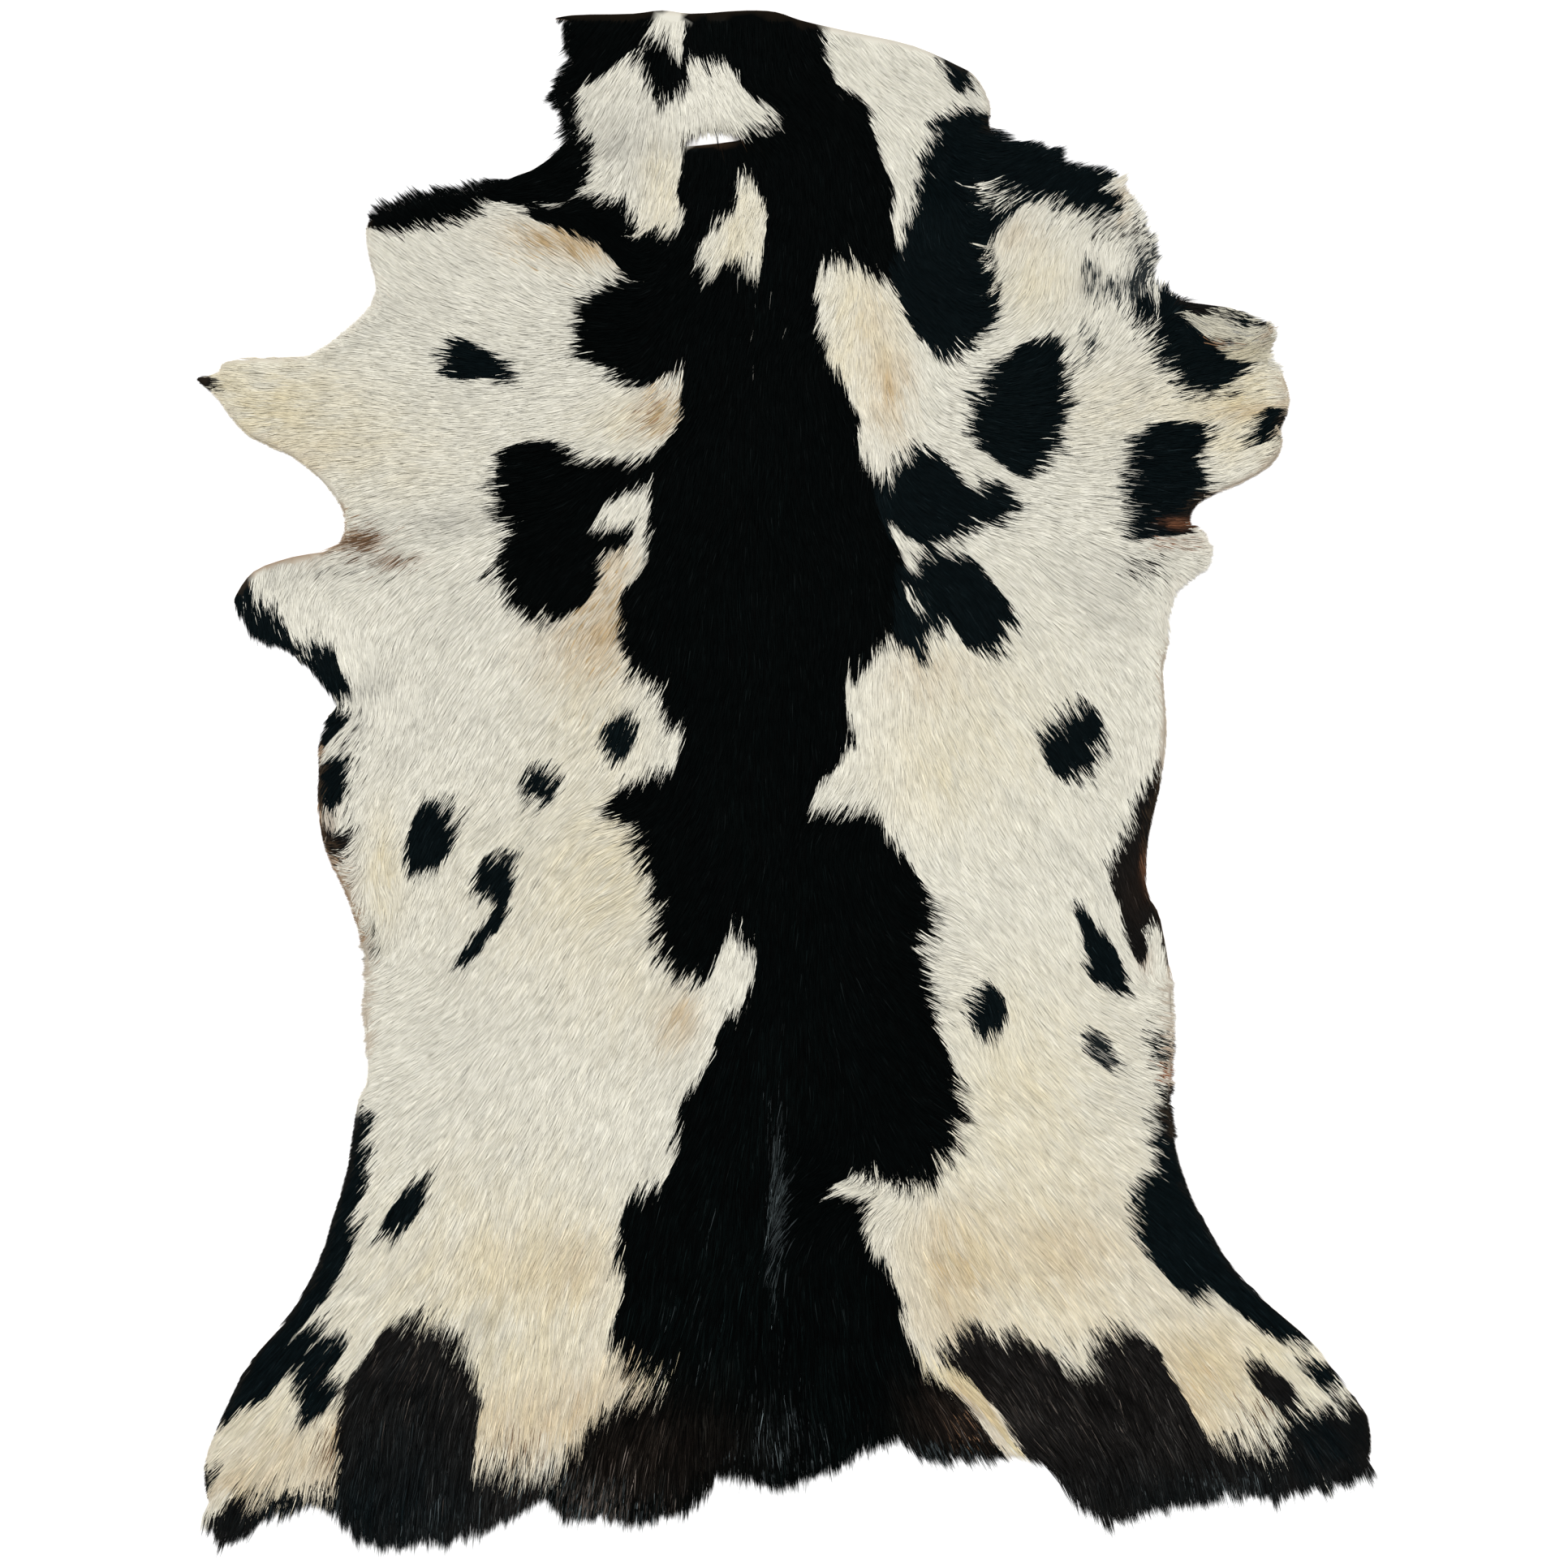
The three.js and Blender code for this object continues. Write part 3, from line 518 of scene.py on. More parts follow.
        (1386, 1210), (1390, 1219), (1378, 1217), (1364, 1212), (1353, 1208), (1347, 1196), (1345, 1170),
        (1340, 1150), (1334, 1130),
    ]),
    ("right loin spot", "night", [
        (1206, 1224), (1216, 1217), (1226, 1224), (1232, 1240), (1233, 1256), (1226, 1271), (1214, 1277),
        (1204, 1268), (1201, 1250), (1202, 1236),
    ]),
    ("right belly spot", "night", [
        (1340, 1275), (1350, 1275), (1361, 1283), (1370, 1296), (1375, 1309), (1367, 1314), (1358, 1307),
        (1348, 1296), (1341, 1285),
    ]),
    ("right flank strip", "umber", [
        (1430, 950), (1426, 958), (1418, 968), (1410, 980), (1403, 992), (1400, 1005), (1397, 1018),
        (1390, 1028), (1385, 1040), (1380, 1050), (1374, 1060), (1370, 1072), (1370, 1088), (1376, 1102),
        (1383, 1118), (1388, 1132), (1391, 1146), (1394, 1160), (1399, 1172), (1405, 1182), (1410, 1190),
        (1412, 1180), (1410, 1168), (1408, 1155), (1412, 1148), (1420, 1142), (1428, 1140), (1434, 1150),
        (1437, 1165), (1442, 1190), (1460, 1165), (1450, 1110), (1430, 1100), (1425, 1050), (1435, 990),
        (1445, 950),
    ]),
    ("right hind edge", "night", [
        (1438, 1340), (1430, 1385), (1425, 1405), (1435, 1425), (1430, 1450), (1412, 1458), (1408, 1475),
        (1405, 1490), (1402, 1505), (1408, 1520), (1415, 1540), (1425, 1550), (1440, 1565), (1450, 1578),
        (1460, 1590), (1475, 1598), (1485, 1600), (1483, 1588), (1505, 1590), (1515, 1600), (1530, 1612),
        (1545, 1625), (1560, 1635), (1580, 1645), (1600, 1652), (1630, 1660), (1560, 1590), (1500, 1530),
        (1460, 1450), (1450, 1340),
    ]),
    ("right hind leg", "umber", [
        (1152, 1682), (1160, 1673), (1172, 1666), (1181, 1658), (1180, 1648), (1188, 1640), (1198, 1636),
        (1208, 1642), (1218, 1650), (1255, 1650), (1275, 1658), (1290, 1665), (1297, 1680), (1305, 1692),
        (1320, 1698), (1335, 1700), (1345, 1690), (1348, 1670), (1355, 1650), (1375, 1640), (1400, 1645),
        (1420, 1660), (1432, 1675), (1440, 1695), (1455, 1715), (1465, 1740), (1478, 1765), (1490, 1780),
        (1520, 1785), (1545, 1790), (1565, 1792), (1578, 1790), (1585, 1775), (1583, 1762), (1588, 1752),
        (1602, 1748), (1620, 1748), (1638, 1742), (1650, 1733), (1672, 1727), (1720, 1740), (1720, 1840),
        (1600, 1880), (1340, 1920), (1270, 1800), (1230, 1730),
    ]),
    ("right hind spot", "umber", [
        (1538, 1680), (1550, 1683), (1564, 1690), (1577, 1699), (1588, 1709), (1596, 1722), (1600, 1737),
        (1588, 1740), (1575, 1731), (1563, 1724), (1554, 1713), (1545, 1701),
    ]),
    ("right hock", "night", [
        (1608, 1684), (1620, 1683), (1633, 1687), (1646, 1695), (1654, 1706), (1642, 1709), (1628, 1703),
        (1614, 1696),
    ]),
    ("rump stripe", "cream", [
        (1129, 1687), (1138, 1682), (1150, 1681), (1163, 1684), (1176, 1690), (1190, 1698), (1202, 1708),
        (1212, 1720), (1219, 1732), (1226, 1742), (1233, 1752), (1241, 1764), (1250, 1778), (1262, 1792),
        (1275, 1806), (1264, 1803), (1253, 1794), (1244, 1784), (1235, 1772), (1226, 1761), (1218, 1751),
        (1210, 1742), (1202, 1733), (1194, 1725), (1186, 1717), (1177, 1710), (1167, 1704), (1156, 1698),
        (1144, 1693),
    ]),
    ("left shoulder spot", "night", [
        (554, 418), (568, 422), (582, 430), (594, 436), (606, 446), (614, 455), (626, 466), (634, 474),
        (618, 463), (600, 459), (580, 460), (562, 464), (547, 456), (553, 446), (555, 434),
    ]),
    ("left rib spot, right", "night", [
        (755, 890), (770, 887), (780, 895), (778, 910), (770, 925), (758, 938), (748, 930), (742, 915),
        (748, 900),
    ]),
    ("left rib spot, middle", "night", [
        (660, 950), (675, 955), (683, 965), (680, 980), (668, 986), (655, 980), (648, 968), (650, 955),
    ]),
    ("left rib spot, left", "night", [
        (532, 992), (545, 992), (553, 1000), (559, 1010), (558, 1025), (553, 1042), (545, 1056),
        (535, 1066), (520, 1072), (507, 1073), (505, 1058), (505, 1040), (510, 1022), (517, 1006),
    ]),
    ("left rib hook", "night", [
        (602, 1062), (615, 1057), (628, 1058), (629, 1070), (627, 1088), (621, 1104), (615, 1116),
        (616, 1130), (609, 1143), (600, 1152), (592, 1160), (583, 1172), (574, 1183), (565, 1193),
        (564, 1191), (572, 1180), (581, 1169), (590, 1157), (598, 1149), (606, 1140), (612, 1129),
        (611, 1114), (604, 1102), (594, 1098), (588, 1098), (592, 1086), (588, 1086), (592, 1074),
    ]),
    ("left loin spot", "night", [
        (520, 1460), (520, 1478), (510, 1492), (502, 1505), (495, 1515), (485, 1520), (465, 1527),
        (480, 1505), (488, 1490), (495, 1478), (508, 1465),
    ]),
    ("left flap edge", "night", [
        (262, 742), (290, 716), (300, 712), (303, 730), (309, 745), (322, 753), (338, 761), (347, 777),
        (352, 790), (360, 800), (372, 805), (386, 797), (397, 796), (406, 805), (412, 822), (418, 838),
        (427, 854), (418, 858), (400, 856), (370, 830), (300, 800),
    ]),
    ("left flank edge, upper", "night", [
        (380, 895), (392, 884), (404, 880), (418, 879), (424, 881), (416, 890), (407, 901), (398, 912),
        (391, 921), (380, 925),
    ]),
    ("left flank edge, lower", "night", [
        (385, 945), (410, 942), (420, 940), (420, 955), (416, 970), (415, 985), (408, 995), (385, 995),
    ]),
    ("left flank edge, brown", "umber", [
        (390, 1020), (410, 1024), (422, 1028), (428, 1036), (420, 1044), (408, 1050), (395, 1045),
    ]),
    ("left foreleg tip", "umber", [(225, 460), (250, 462), (262, 470), (262, 478), (245, 485)]),
    ("left hind edge", "night", [
        (430, 1350), (450, 1380), (445, 1400), (447, 1420), (445, 1455), (440, 1470), (432, 1485),
        (425, 1495), (430, 1505), (437, 1510), (432, 1525), (425, 1540), (418, 1555), (405, 1580),
        (395, 1600), (380, 1615), (370, 1625), (355, 1645), (350, 1665), (345, 1680), (342, 1695),
        (330, 1712), (315, 1725), (295, 1732), (280, 1740), (268, 1758), (240, 1760), (300, 1660),
        (380, 1560), (410, 1460),
    ]),
    ("left hock", "night", [
        (352, 1668), (372, 1648), (385, 1640), (392, 1640), (384, 1655), (392, 1658), (400, 1652),
        (412, 1648), (425, 1650), (420, 1660), (412, 1672), (402, 1682), (396, 1692), (388, 1702),
        (382, 1712), (376, 1722), (368, 1724), (364, 1715), (367, 1702), (366, 1690), (358, 1690),
        (350, 1686), (358, 1675),
    ]),
    ("left hock, lower", "night", [
        (388, 1716), (400, 1710), (412, 1706), (404, 1720), (398, 1732), (388, 1742), (376, 1750),
        (370, 1752), (374, 1740), (380, 1728),
    ]),
    ("left hind rim", "night", [(240, 1812), (253, 1812), (256, 1825), (254, 1838), (240, 1838)]),
    ("left hind leg", "umber", [
        (430, 1700), (445, 1685), (458, 1668), (465, 1655), (475, 1640), (490, 1630), (510, 1628),
        (530, 1632), (545, 1645), (560, 1655), (570, 1670), (580, 1685), (587, 1705), (588, 1730),
        (585, 1755), (582, 1780), (580, 1800), (585, 1815), (600, 1815), (625, 1820), (645, 1825),
        (660, 1830), (660, 1930), (260, 1930), (250, 1890), (265, 1875), (275, 1865), (285, 1855),
        (295, 1845), (303, 1850), (310, 1860), (325, 1858), (355, 1855), (375, 1850), (395, 1850),
        (410, 1850), (418, 1840), (420, 1815), (418, 1790), (422, 1765), (422, 1745), (425, 1720),
    ]),
]

# Soft changes of colour. Columns: name, which hair, shade, x and y on the chart, radius in chart units
# across and along the spine, strength.
TINTS = [
    ("left shoulder, by the back", "pale", "tan", 715, 300, 60, 24, 0.95),
    ("left shoulder, middle", "pale", "tan", 660, 290, 60, 20, 0.35),
    ("left shoulder, below", "pale", "tan", 815, 510, 34, 26, 0.95),
    ("left shoulder, wide", "pale", "cream", 770, 520, 60, 30, 0.4),
    ("left rib, by the back", "pale", "tan", 746, 765, 34, 54, 0.85),
    ("left rib hook", "pale", "tan", 760, 690, 26, 30, 0.5),
    ("left rib, below", "pale", "tan", 708, 800, 56, 50, 0.5),
    ("left rib, cream", "pale", "cream", 730, 880, 70, 80, 0.4),
    ("left flank, by the back", "pale", "cream", 745, 1070, 70, 90, 0.7),
    ("right shoulder, by the back", "pale", "tan", 1096, 480, 26, 62, 0.85),
    ("right shoulder, pale tan", "pale", "cream", 1060, 410, 50, 90, 0.7),
    ("right shoulder, middle", "pale", "tan", 1248, 285, 34, 24, 0.35),
    ("right shoulder, low", "pale", "cream", 1275, 345, 60, 50, 0.45),
    ("right shoulder rim", "pale", "tan", 1386, 245, 8, 26, 0.7),
    ("right rib, by the back", "pale", "tan", 1150, 835, 50, 30, 0.6),
    ("right rib, cream", "pale", "cream", 1200, 900, 130, 130, 0.35),
    ("right flank low, cream", "pale", "cream", 1290, 1350, 120, 160, 0.35),
    ("left loin finger", "pale", "tan", 832, 1260, 26, 34, 0.7),
    ("left loin", "pale", "cream", 770, 1230, 70, 90, 0.3),
    ("left flank", "pale", "cream", 640, 1100, 130, 130, 0.25),
    ("left hind, upper", "pale", "tan", 650, 1565, 90, 40, 0.45),
    ("left hind, by the back", "pale", "tan", 710, 1575, 40, 50, 0.5),
    ("left hind, inner", "pale", "tan", 700, 1740, 70, 60, 0.8),
    ("left hind, middle", "pale", "tan", 610, 1765, 60, 50, 0.65),
    ("left hind, cream", "pale", "cream", 620, 1620, 180, 170, 0.7),
    ("left hind leg", "pale", "tan", 360, 1805, 80, 44, 0.6),
    ("left hind leg, by the hem", "pale", "tan", 290, 1835, 60, 24, 0.6),
    ("left hind leg, inner", "pale", "ochre", 412, 1785, 16, 34, 0.9),
    ("left hind leg, cream", "pale", "cream", 330, 1770, 120, 120, 0.5),
    ("left foreleg", "pale", "cream", 300, 500, 130, 60, 0.8),
    ("left foreleg, lower edge", "pale", "tan", 330, 560, 90, 22, 0.35),
    ("left foreleg, inner", "pale", "cream", 430, 560, 130, 60, 0.35),
    ("right foreleg", "pale", "cream", 1525, 500, 70, 60, 0.9),
    ("right foreleg, tan", "pale", "tan", 1545, 505, 44, 10, 0.6),
    ("right foreleg, inner", "pale", "cream", 1380, 500, 80, 60, 0.3),
    ("right hind, upper", "pale", "tan", 1180, 1562, 52, 64, 1.0),
    ("right hind, middle", "pale", "tan", 1310, 1540, 60, 40, 0.5),
    ("right hind, lower", "pale", "tan", 1160, 1640, 40, 40, 0.4),
    ("right hind, cream", "pale", "cream", 1250, 1560, 170, 130, 0.6),
    ("right hind, wide", "pale", "tan", 1330, 1580, 200, 120, 0.22),
    ("right hind leg", "pale", "tan", 1480, 1710, 60, 70, 0.9),
    ("right hind leg, cream", "pale", "cream", 1530, 1690, 130, 90, 0.7),
    ("rump edge", "pale", "tan", 790, 1700, 40, 30, 0.8),
    ("rump stripe, tan", "pale", "ochre", 1178, 1714, 16, 12, 0.9),
    ("rump stripe, golden", "pale", "ochre", 1210, 1738, 24, 26, 0.55),
    ("rump stripe, end", "pale", "tan", 1240, 1780, 16, 26, 0.5),
    ("rump stripe, start", "pale", "white", 1150, 1685, 14, 9, 0.8),
    ("left armpit", "pale", "brown", 444, 668, 24, 13, 1.0),
    ("left armpit, edge", "pale", "brown", 490, 690, 26, 7, 0.85),
    # This grey tint is partly greyish hair and partly painted shade along the armpit fold.
    ("left armpit, grey", "pale", "grey", 520, 642, 70, 16, 0.35),
    ("flap upper edge", "pale", "brown", 345, 690, 60, 7, 0.5),
    ("flap, upper part", "pale", "grey", 420, 700, 60, 18, 0.3),
    ("left flank edge", "pale", "brown", 405, 1050, 10, 60, 0.7),
    ("left flank edge, lower", "pale", "brown", 430, 1110, 10, 40, 0.45),
    ("left flank lock", "pale", "cream", 470, 1075, 22, 70, 0.7),
    ("left flank, by the tufts", "pale", "grey", 442, 895, 16, 24, 0.4),
    ("right elbow", "dark", "rust", 1456, 645, 13, 6, 0.8),
    ("right elbow, hair", "pale", "brown", 1455, 668, 40, 12, 0.3),
    ("right belly edge", "pale", "rust", 1444, 1308, 7, 26, 0.85),
    ("right flank fold", "dark", "rust", 1412, 1078, 7, 18, 0.75),
    ("right flank fold, inner", "dark", "sable", 1396, 1100, 20, 40, 0.7),
    ("right flank fold, end", "pale", "brown", 1412, 1190, 8, 14, 0.7),
    ("right neck fold", "pale", "rust", 1150, 185, 6, 18, 0.4),
    ("right neck, low edge", "pale", "grey", 1205, 115, 14, 40, 0.4),
    ("slit, lower lip", "dark", "brown", 866, 180, 28, 1.2, 0.4),
    ("slit, lower lip, right", "dark", "brown", 900, 176, 16, 1, 0.3),
    ("comma", "pale", "cream", 915, 290, 40, 70, 0.5),
    ("left hind, grey", "pale", "grey", 590, 1640, 30, 30, 0.4),
    ("neck, lower left", "pale", "grey", 800, 222, 30, 24, 0.35),
    ("right shoulder, inner", "pale", "tan", 1075, 400, 24, 40, 0.25),
    ("neck, left", "pale", "grey", 762, 175, 70, 46, 0.38),
    ("neck, low", "pale", "cream", 815, 235, 24, 50, 0.6),
    ("right foreleg curl, end", "pale", "brown", 1566, 408, 6, 16, 0.8),
    ("right foreleg curl, low", "pale", "cream", 1520, 430, 40, 12, 0.4),
    # The two grey tints below are painted shade along the folds of the right flank and rib.
    ("right flank shade", "pale", "grey", 1350, 735, 60, 22, 0.25),
    ("right rib shade", "pale", "grey", 1365, 696, 64, 20, 0.3),
    ("flap, top", "pale", "grey", 345, 706, 50, 14, 0.35),
    ("right shoulder arc, left", "pale", "grey", 1343, 338, 14, 26, 0.6),
    ("right shoulder arc, low", "pale", "grey", 1374, 354, 36, 14, 0.6),
    ("right shoulder rim, grey", "pale", "grey", 1406, 315, 22, 36, 0.6),
    ("right shoulder, below the band", "pale", "grey", 1350, 275, 40, 14, 0.25),
    ("left neck, band", "pale", "grey", 700, 700, 60, 20, 0.1),
    ("right flank, cream", "pale", "cream", 1150, 950, 60, 60, 0.45),
    ("right loin, cream", "pale", "cream", 1250, 1330, 60, 110, 0.4),
    ("right belly spot", "dark", "steel_grey_and_sheen", 1357, 1293, 24, 28, 0.6),
    ("rump", "dark", "sable", 790, 1790, 120, 60, 0.5),
    ("rump, right", "dark", "sable", 1172, 1745, 48, 40, 0.9),
    ("rump, by the stripe", "dark", "sable", 1205, 1775, 30, 26, 0.8),
    ("left hind leg, dark", "dark", "night", 330, 1880, 80, 30, 0.8),
    ("left hind leg, middle", "dark", "night", 500, 1770, 90, 110, 0.5),
    ("left hind leg, low", "dark", "night", 480, 1870, 110, 70, 0.9),
    ("right hind leg, dark", "dark", "night", 1630, 1780, 80, 60, 0.9),
    ("right hind leg, low", "dark", "night", 1450, 1850, 160, 40, 0.6),
]

# Hairs of another colour among the rest. Columns as for the soft changes, and the last is a share.
STREAKS = [
    ("right shoulder arc, left", "pale", "steel_grey_and_sheen", 1342, 327, 8, 13, 0.85),
    ("right shoulder arc, left, lower", "pale", "steel_grey_and_sheen", 1348, 347, 9, 12, 0.8),
    ("right shoulder arc, joining", "pale", "steel_grey_and_sheen", 1358, 356, 12, 7, 0.55),
    ("right shoulder arc, middle", "pale", "steel_grey_and_sheen", 1369, 352, 10, 13, 0.8),
    ("right shoulder arc, right", "pale", "steel_grey_and_sheen", 1390, 358, 13, 12, 0.85),
    ("right shoulder arc, end", "pale", "steel_grey_and_sheen", 1404, 344, 13, 13, 0.7),
    ("right shoulder arc, to the stripe", "pale", "night", 1405, 374, 12, 14, 0.7),
    ("right shoulder rim", "pale", "steel_grey_and_sheen", 1414, 312, 14, 30, 0.55),
    ("right shoulder fleck, left", "pale", "steel_grey_and_sheen", 1337, 402, 8, 13, 0.6),
    ("right shoulder fleck, right", "pale", "steel_grey_and_sheen", 1350, 416, 7, 14, 0.65),
    ("right shoulder fleck, low", "pale", "steel_grey_and_sheen", 1343, 432, 6, 12, 0.6),
    ("right shoulder band, white hairs", "dark", "white", 1214, 228, 22, 8, 0.65),
    ("right shoulder band, lower hairs", "dark", "white", 1234, 245, 20, 9, 0.6),
    ("right foreleg curl, wool", "pale", "night", 1526, 390, 15, 9, 0.8),
    ("right foreleg curl, line", "pale", "sable", 1552, 401, 14, 4, 0.85),
    ("right foreleg curl, shade", "pale", "brown", 1503, 427, 15, 6, 0.5),
    ("right foreleg curl, strands", "pale", "grey", 1512, 410, 44, 26, 0.3),
    ("left rib, tan hairs", "pale", "tan", 735, 760, 30, 60, 0.4),
    ("right shoulder rim, upper", "pale", "umber", 1402, 281, 8, 8, 0.55),
    ("right shoulder, below the band", "pale", "umber", 1345, 272, 36, 11, 0.3),
    ("right shoulder, by the rim", "pale", "umber", 1378, 284, 24, 10, 0.3),
    ("left of the foreleg stripe", "pale", "night", 1404, 384, 10, 26, 0.55),
    ("left of the foreleg stripe, low", "pale", "night", 1418, 440, 14, 30, 0.3),
    ("below the foreleg stripe", "pale", "umber", 1490, 485, 36, 7, 0.3),
    ("right foreleg curl, upper edge", "pale", "night", 1480, 379, 26, 6, 0.85),
    ("right foreleg curl, middle", "pale", "night", 1526, 390, 12, 10, 0.5),
    ("right foreleg curl, right", "pale", "night", 1542, 399, 14, 5, 0.6),
    ("right foreleg curl, low", "pale", "umber", 1506, 420, 30, 12, 0.3),
    ("right foreleg, below the tip", "pale", "umber", 1573, 540, 10, 10, 0.4),
    ("right foreleg patch, left", "dark", "grey", 1392, 600, 10, 60, 0.12),
    ("right foreleg patch, low", "dark", "grey", 1402, 640, 26, 10, 0.25),
    ("right elbow", "pale", "umber", 1412, 700, 20, 16, 0.22),
    ("right elbow, hair", "pale", "rust", 1450, 668, 36, 10, 0.2),
    ("right belly edge", "pale", "umber", 1436, 1300, 12, 30, 0.45),
    ("right belly edge, dark hairs", "pale", "night", 1428, 1290, 10, 13, 0.95),
    ("right belly edge, rust hairs", "pale", "rust", 1437, 1322, 6, 13, 0.9),
    ("right belly spot, pale hairs", "dark", "grey", 1357, 1293, 24, 28, 0.3),
    ("left armpit", "pale", "bark", 442, 668, 20, 13, 0.65),
    ("left armpit, tail", "pale", "bark", 490, 690, 26, 5, 0.5),
    # These two grey lines are painted shade under a lock, along the flap's fold.
    ("left flap fold", "pale", "grey", 430, 861, 12, 3, 0.8),
    ("left flap fold, inner", "pale", "grey", 452, 854, 14, 3, 0.7),
    ("left armpit, upper", "pale", "brown", 448, 652, 24, 12, 0.3),
    ("left armpit, below", "pale", "bark", 480, 697, 30, 10, 0.16),
    ("flap, upper part", "pale", "smoke", 415, 704, 50, 14, 0.15),
    ("flap edge", "dark", "white", 324, 750, 24, 9, 0.25),
    ("flap edge, low", "dark", "white", 376, 800, 10, 10, 0.3),
    ("left flank, brown", "pale", "sable", 416, 1046, 18, 20, 0.6),
    ("left flank whorl", "pale", "umber", 457, 1160, 5, 16, 0.5),
    ("left flank tufts", "pale", "umber", 425, 925, 14, 60, 0.2),
    ("right flank fold", "dark", "white", 1418, 1142, 8, 10, 0.4),
    ("left shoulder spot, left hairs", "pale", "night", 541, 447, 9, 12, 0.4),
    ("left shoulder spot, right hairs", "pale", "night", 624, 456, 13, 12, 0.3),
    ("right hind leg, brown tips", "pale", "bark", 1560, 1742, 26, 14, 0.5),
    ("right hind leg, upper hairs", "pale", "umber", 1302, 1677, 22, 10, 0.5),
    ("left hind, brown tips", "pale", "bark", 640, 1792, 34, 12, 0.45),
    ("left hind leg, brown tips", "pale", "bark", 404, 1790, 14, 26, 0.3),
    # Grey hairs among the dark ones along these hems: painted sheen.
    ("rump hem, shine", "dark", "steel_grey_and_sheen", 700, 1850, 50, 20, 0.35),
    ("right hind leg, hem shine", "dark", "steel_grey_and_sheen", 1500, 1828, 50, 15, 0.4),
    ("left shoulder band", "dark", "white", 675, 253, 24, 4, 0.3),
    ("left shoulder, tan hairs", "pale", "tan", 690, 295, 50, 22, 0.4),
    ("left shoulder, low tan hairs", "pale", "tan", 808, 508, 30, 24, 0.5),
    ("left shoulder, low brown hairs", "pale", "brown", 806, 512, 22, 18, 0.15),
    ("left hem, right end", "pale", "sable", 405, 1830, 18, 14, 0.35),
    ("left hem, middle", "pale", "night", 340, 1850, 40, 8, 0.25),
    ("left hind leg, inner", "pale", "sable", 418, 1770, 6, 50, 0.5),
    ("left hind, inner edge", "pale", "umber", 590, 1760, 8, 50, 0.35),
    ("left hind, hem", "pale", "umber", 640, 1812, 60, 10, 0.25),
    ("rump edge, cream hairs", "dark", "cream", 800, 1704, 18, 12, 0.15),
    ("rump stripe, left hairs", "dark", "bark", 1200, 1758, 20, 26, 0.35),
    # Grey tips among the dark hair along the hems: painted sheen.
    ("left hem, tips", "dark", "steel_grey_and_sheen", 600, 1886, 130, 10, 0.12),
    ("left hem, left tips", "dark", "steel_grey_and_sheen", 480, 1910, 60, 8, 0.12),
    ("rump hem, tips", "dark", "steel_grey_and_sheen", 740, 1872, 70, 9, 0.4),
    ("rump hem, right tips", "dark", "steel_grey_and_sheen", 1150, 1803, 60, 9, 0.5),
    ("left hind, hem spikes", "pale", "umber", 600, 1806, 40, 12, 0.22),
    ("right hind leg, lobe spikes", "pale", "umber", 1560, 1765, 20, 16, 0.25),
    # Grey tips on this dark hem: painted sheen.
    ("right hind leg, hem tips", "dark", "steel_grey_and_sheen", 1520, 1845, 34, 8, 0.5),
    ("right hind leg, between the spots", "pale", "night", 1625, 1722, 24, 10, 0.3),
    ("right hind leg, hem of the pale hair", "pale", "umber", 1530, 1786, 60, 10, 0.3),
    ("right hind leg, brown hairs", "dark", "smoke", 1290, 1720, 100, 60, 0.14),
    ("left hind leg, brown hairs", "dark", "smoke", 500, 1690, 70, 50, 0.12),
    ("rump, brown hairs", "dark", "smoke", 730, 1850, 70, 40, 0.2),
    # Grey hairs along the dark rump and loin: painted sheen.
    ("rump, left grey", "dark", "steel_grey_and_sheen", 870, 1640, 40, 90, 0.07),
    ("rump, middle grey", "dark", "steel_grey_and_sheen", 965, 1780, 40, 50, 0.15),
    ("loin grey", "dark", "steel_grey_and_sheen", 957, 1480, 9, 90, 0.5),
    ("neck flecks", "dark", "grey", 930, 340, 40, 90, 0.008),
]

# Soft folds of the skin. Columns: name, half width and height in millimetres, share of light that the
# hair loses along it, points on the chart.
CREASES = [
    ("left shoulder fold", 7, 2.6, 0.0, [(480, 360), (440, 402), (385, 440)]),
    ("left shoulder fold, shade", 3, 0, 0.08, [(486, 378), (452, 414), (400, 446)]),
    ("right flank fold", 8, 2.4, 0.0, [(1240, 962), (1300, 1015), (1345, 1060), (1380, 1100), (1398, 1150)]),
    ("right flank fold, shade", 3, 0, 0.09, [(1236, 974), (1296, 1028), (1340, 1072), (1372, 1108)]),
    ("right elbow fold", 5, -2.4, 0.07, [(1350, 768), (1400, 771), (1436, 776)]),
    ("right flank edge fold", 3, 1.0, 0.05, [(1398, 770), (1404, 830), (1398, 900)]),
    ("neck hollow", 7, -2.2, 0.07, [(728, 172), (775, 186), (830, 192)]),
    ("hind leg hollow", 6, -3.0, 0.6, [(1308, 1706), (1345, 1722), (1396, 1738)]),
    ("left armpit hollow", 8, -2.4, 0.05, [(436, 672), (490, 688), (550, 660), (620, 648)]),
    ("right neck fold", 6, 2.4, 0.0, [(1150, 150), (1172, 190), (1150, 232)]),
    ("left flap fold", 7, 2.2, 0.0, [(330, 700), (400, 745), (450, 810)]),
    ("left flap crease", 4, -1.6, 0.16, [(415, 865), (450, 850), (482, 845)]),
    ("left flank fold", 8, 2.2, 0.0, [(440, 1010), (475, 1080), (478, 1150)]),
    ("left flank whorl", 5, -1.6, 0.14, [(456, 1146), (457, 1176)]),
    ("left shoulder hollow", 12, -1.6, 0.03, [(600, 290), (560, 330), (545, 380)]),
    ("left rib hollow", 14, -1.6, 0.03, [(560, 760), (540, 850), (500, 940)]),
    ("right belly hollow", 12, -1.6, 0.03, [(1405, 1190), (1370, 1250), (1385, 1320)]),
]

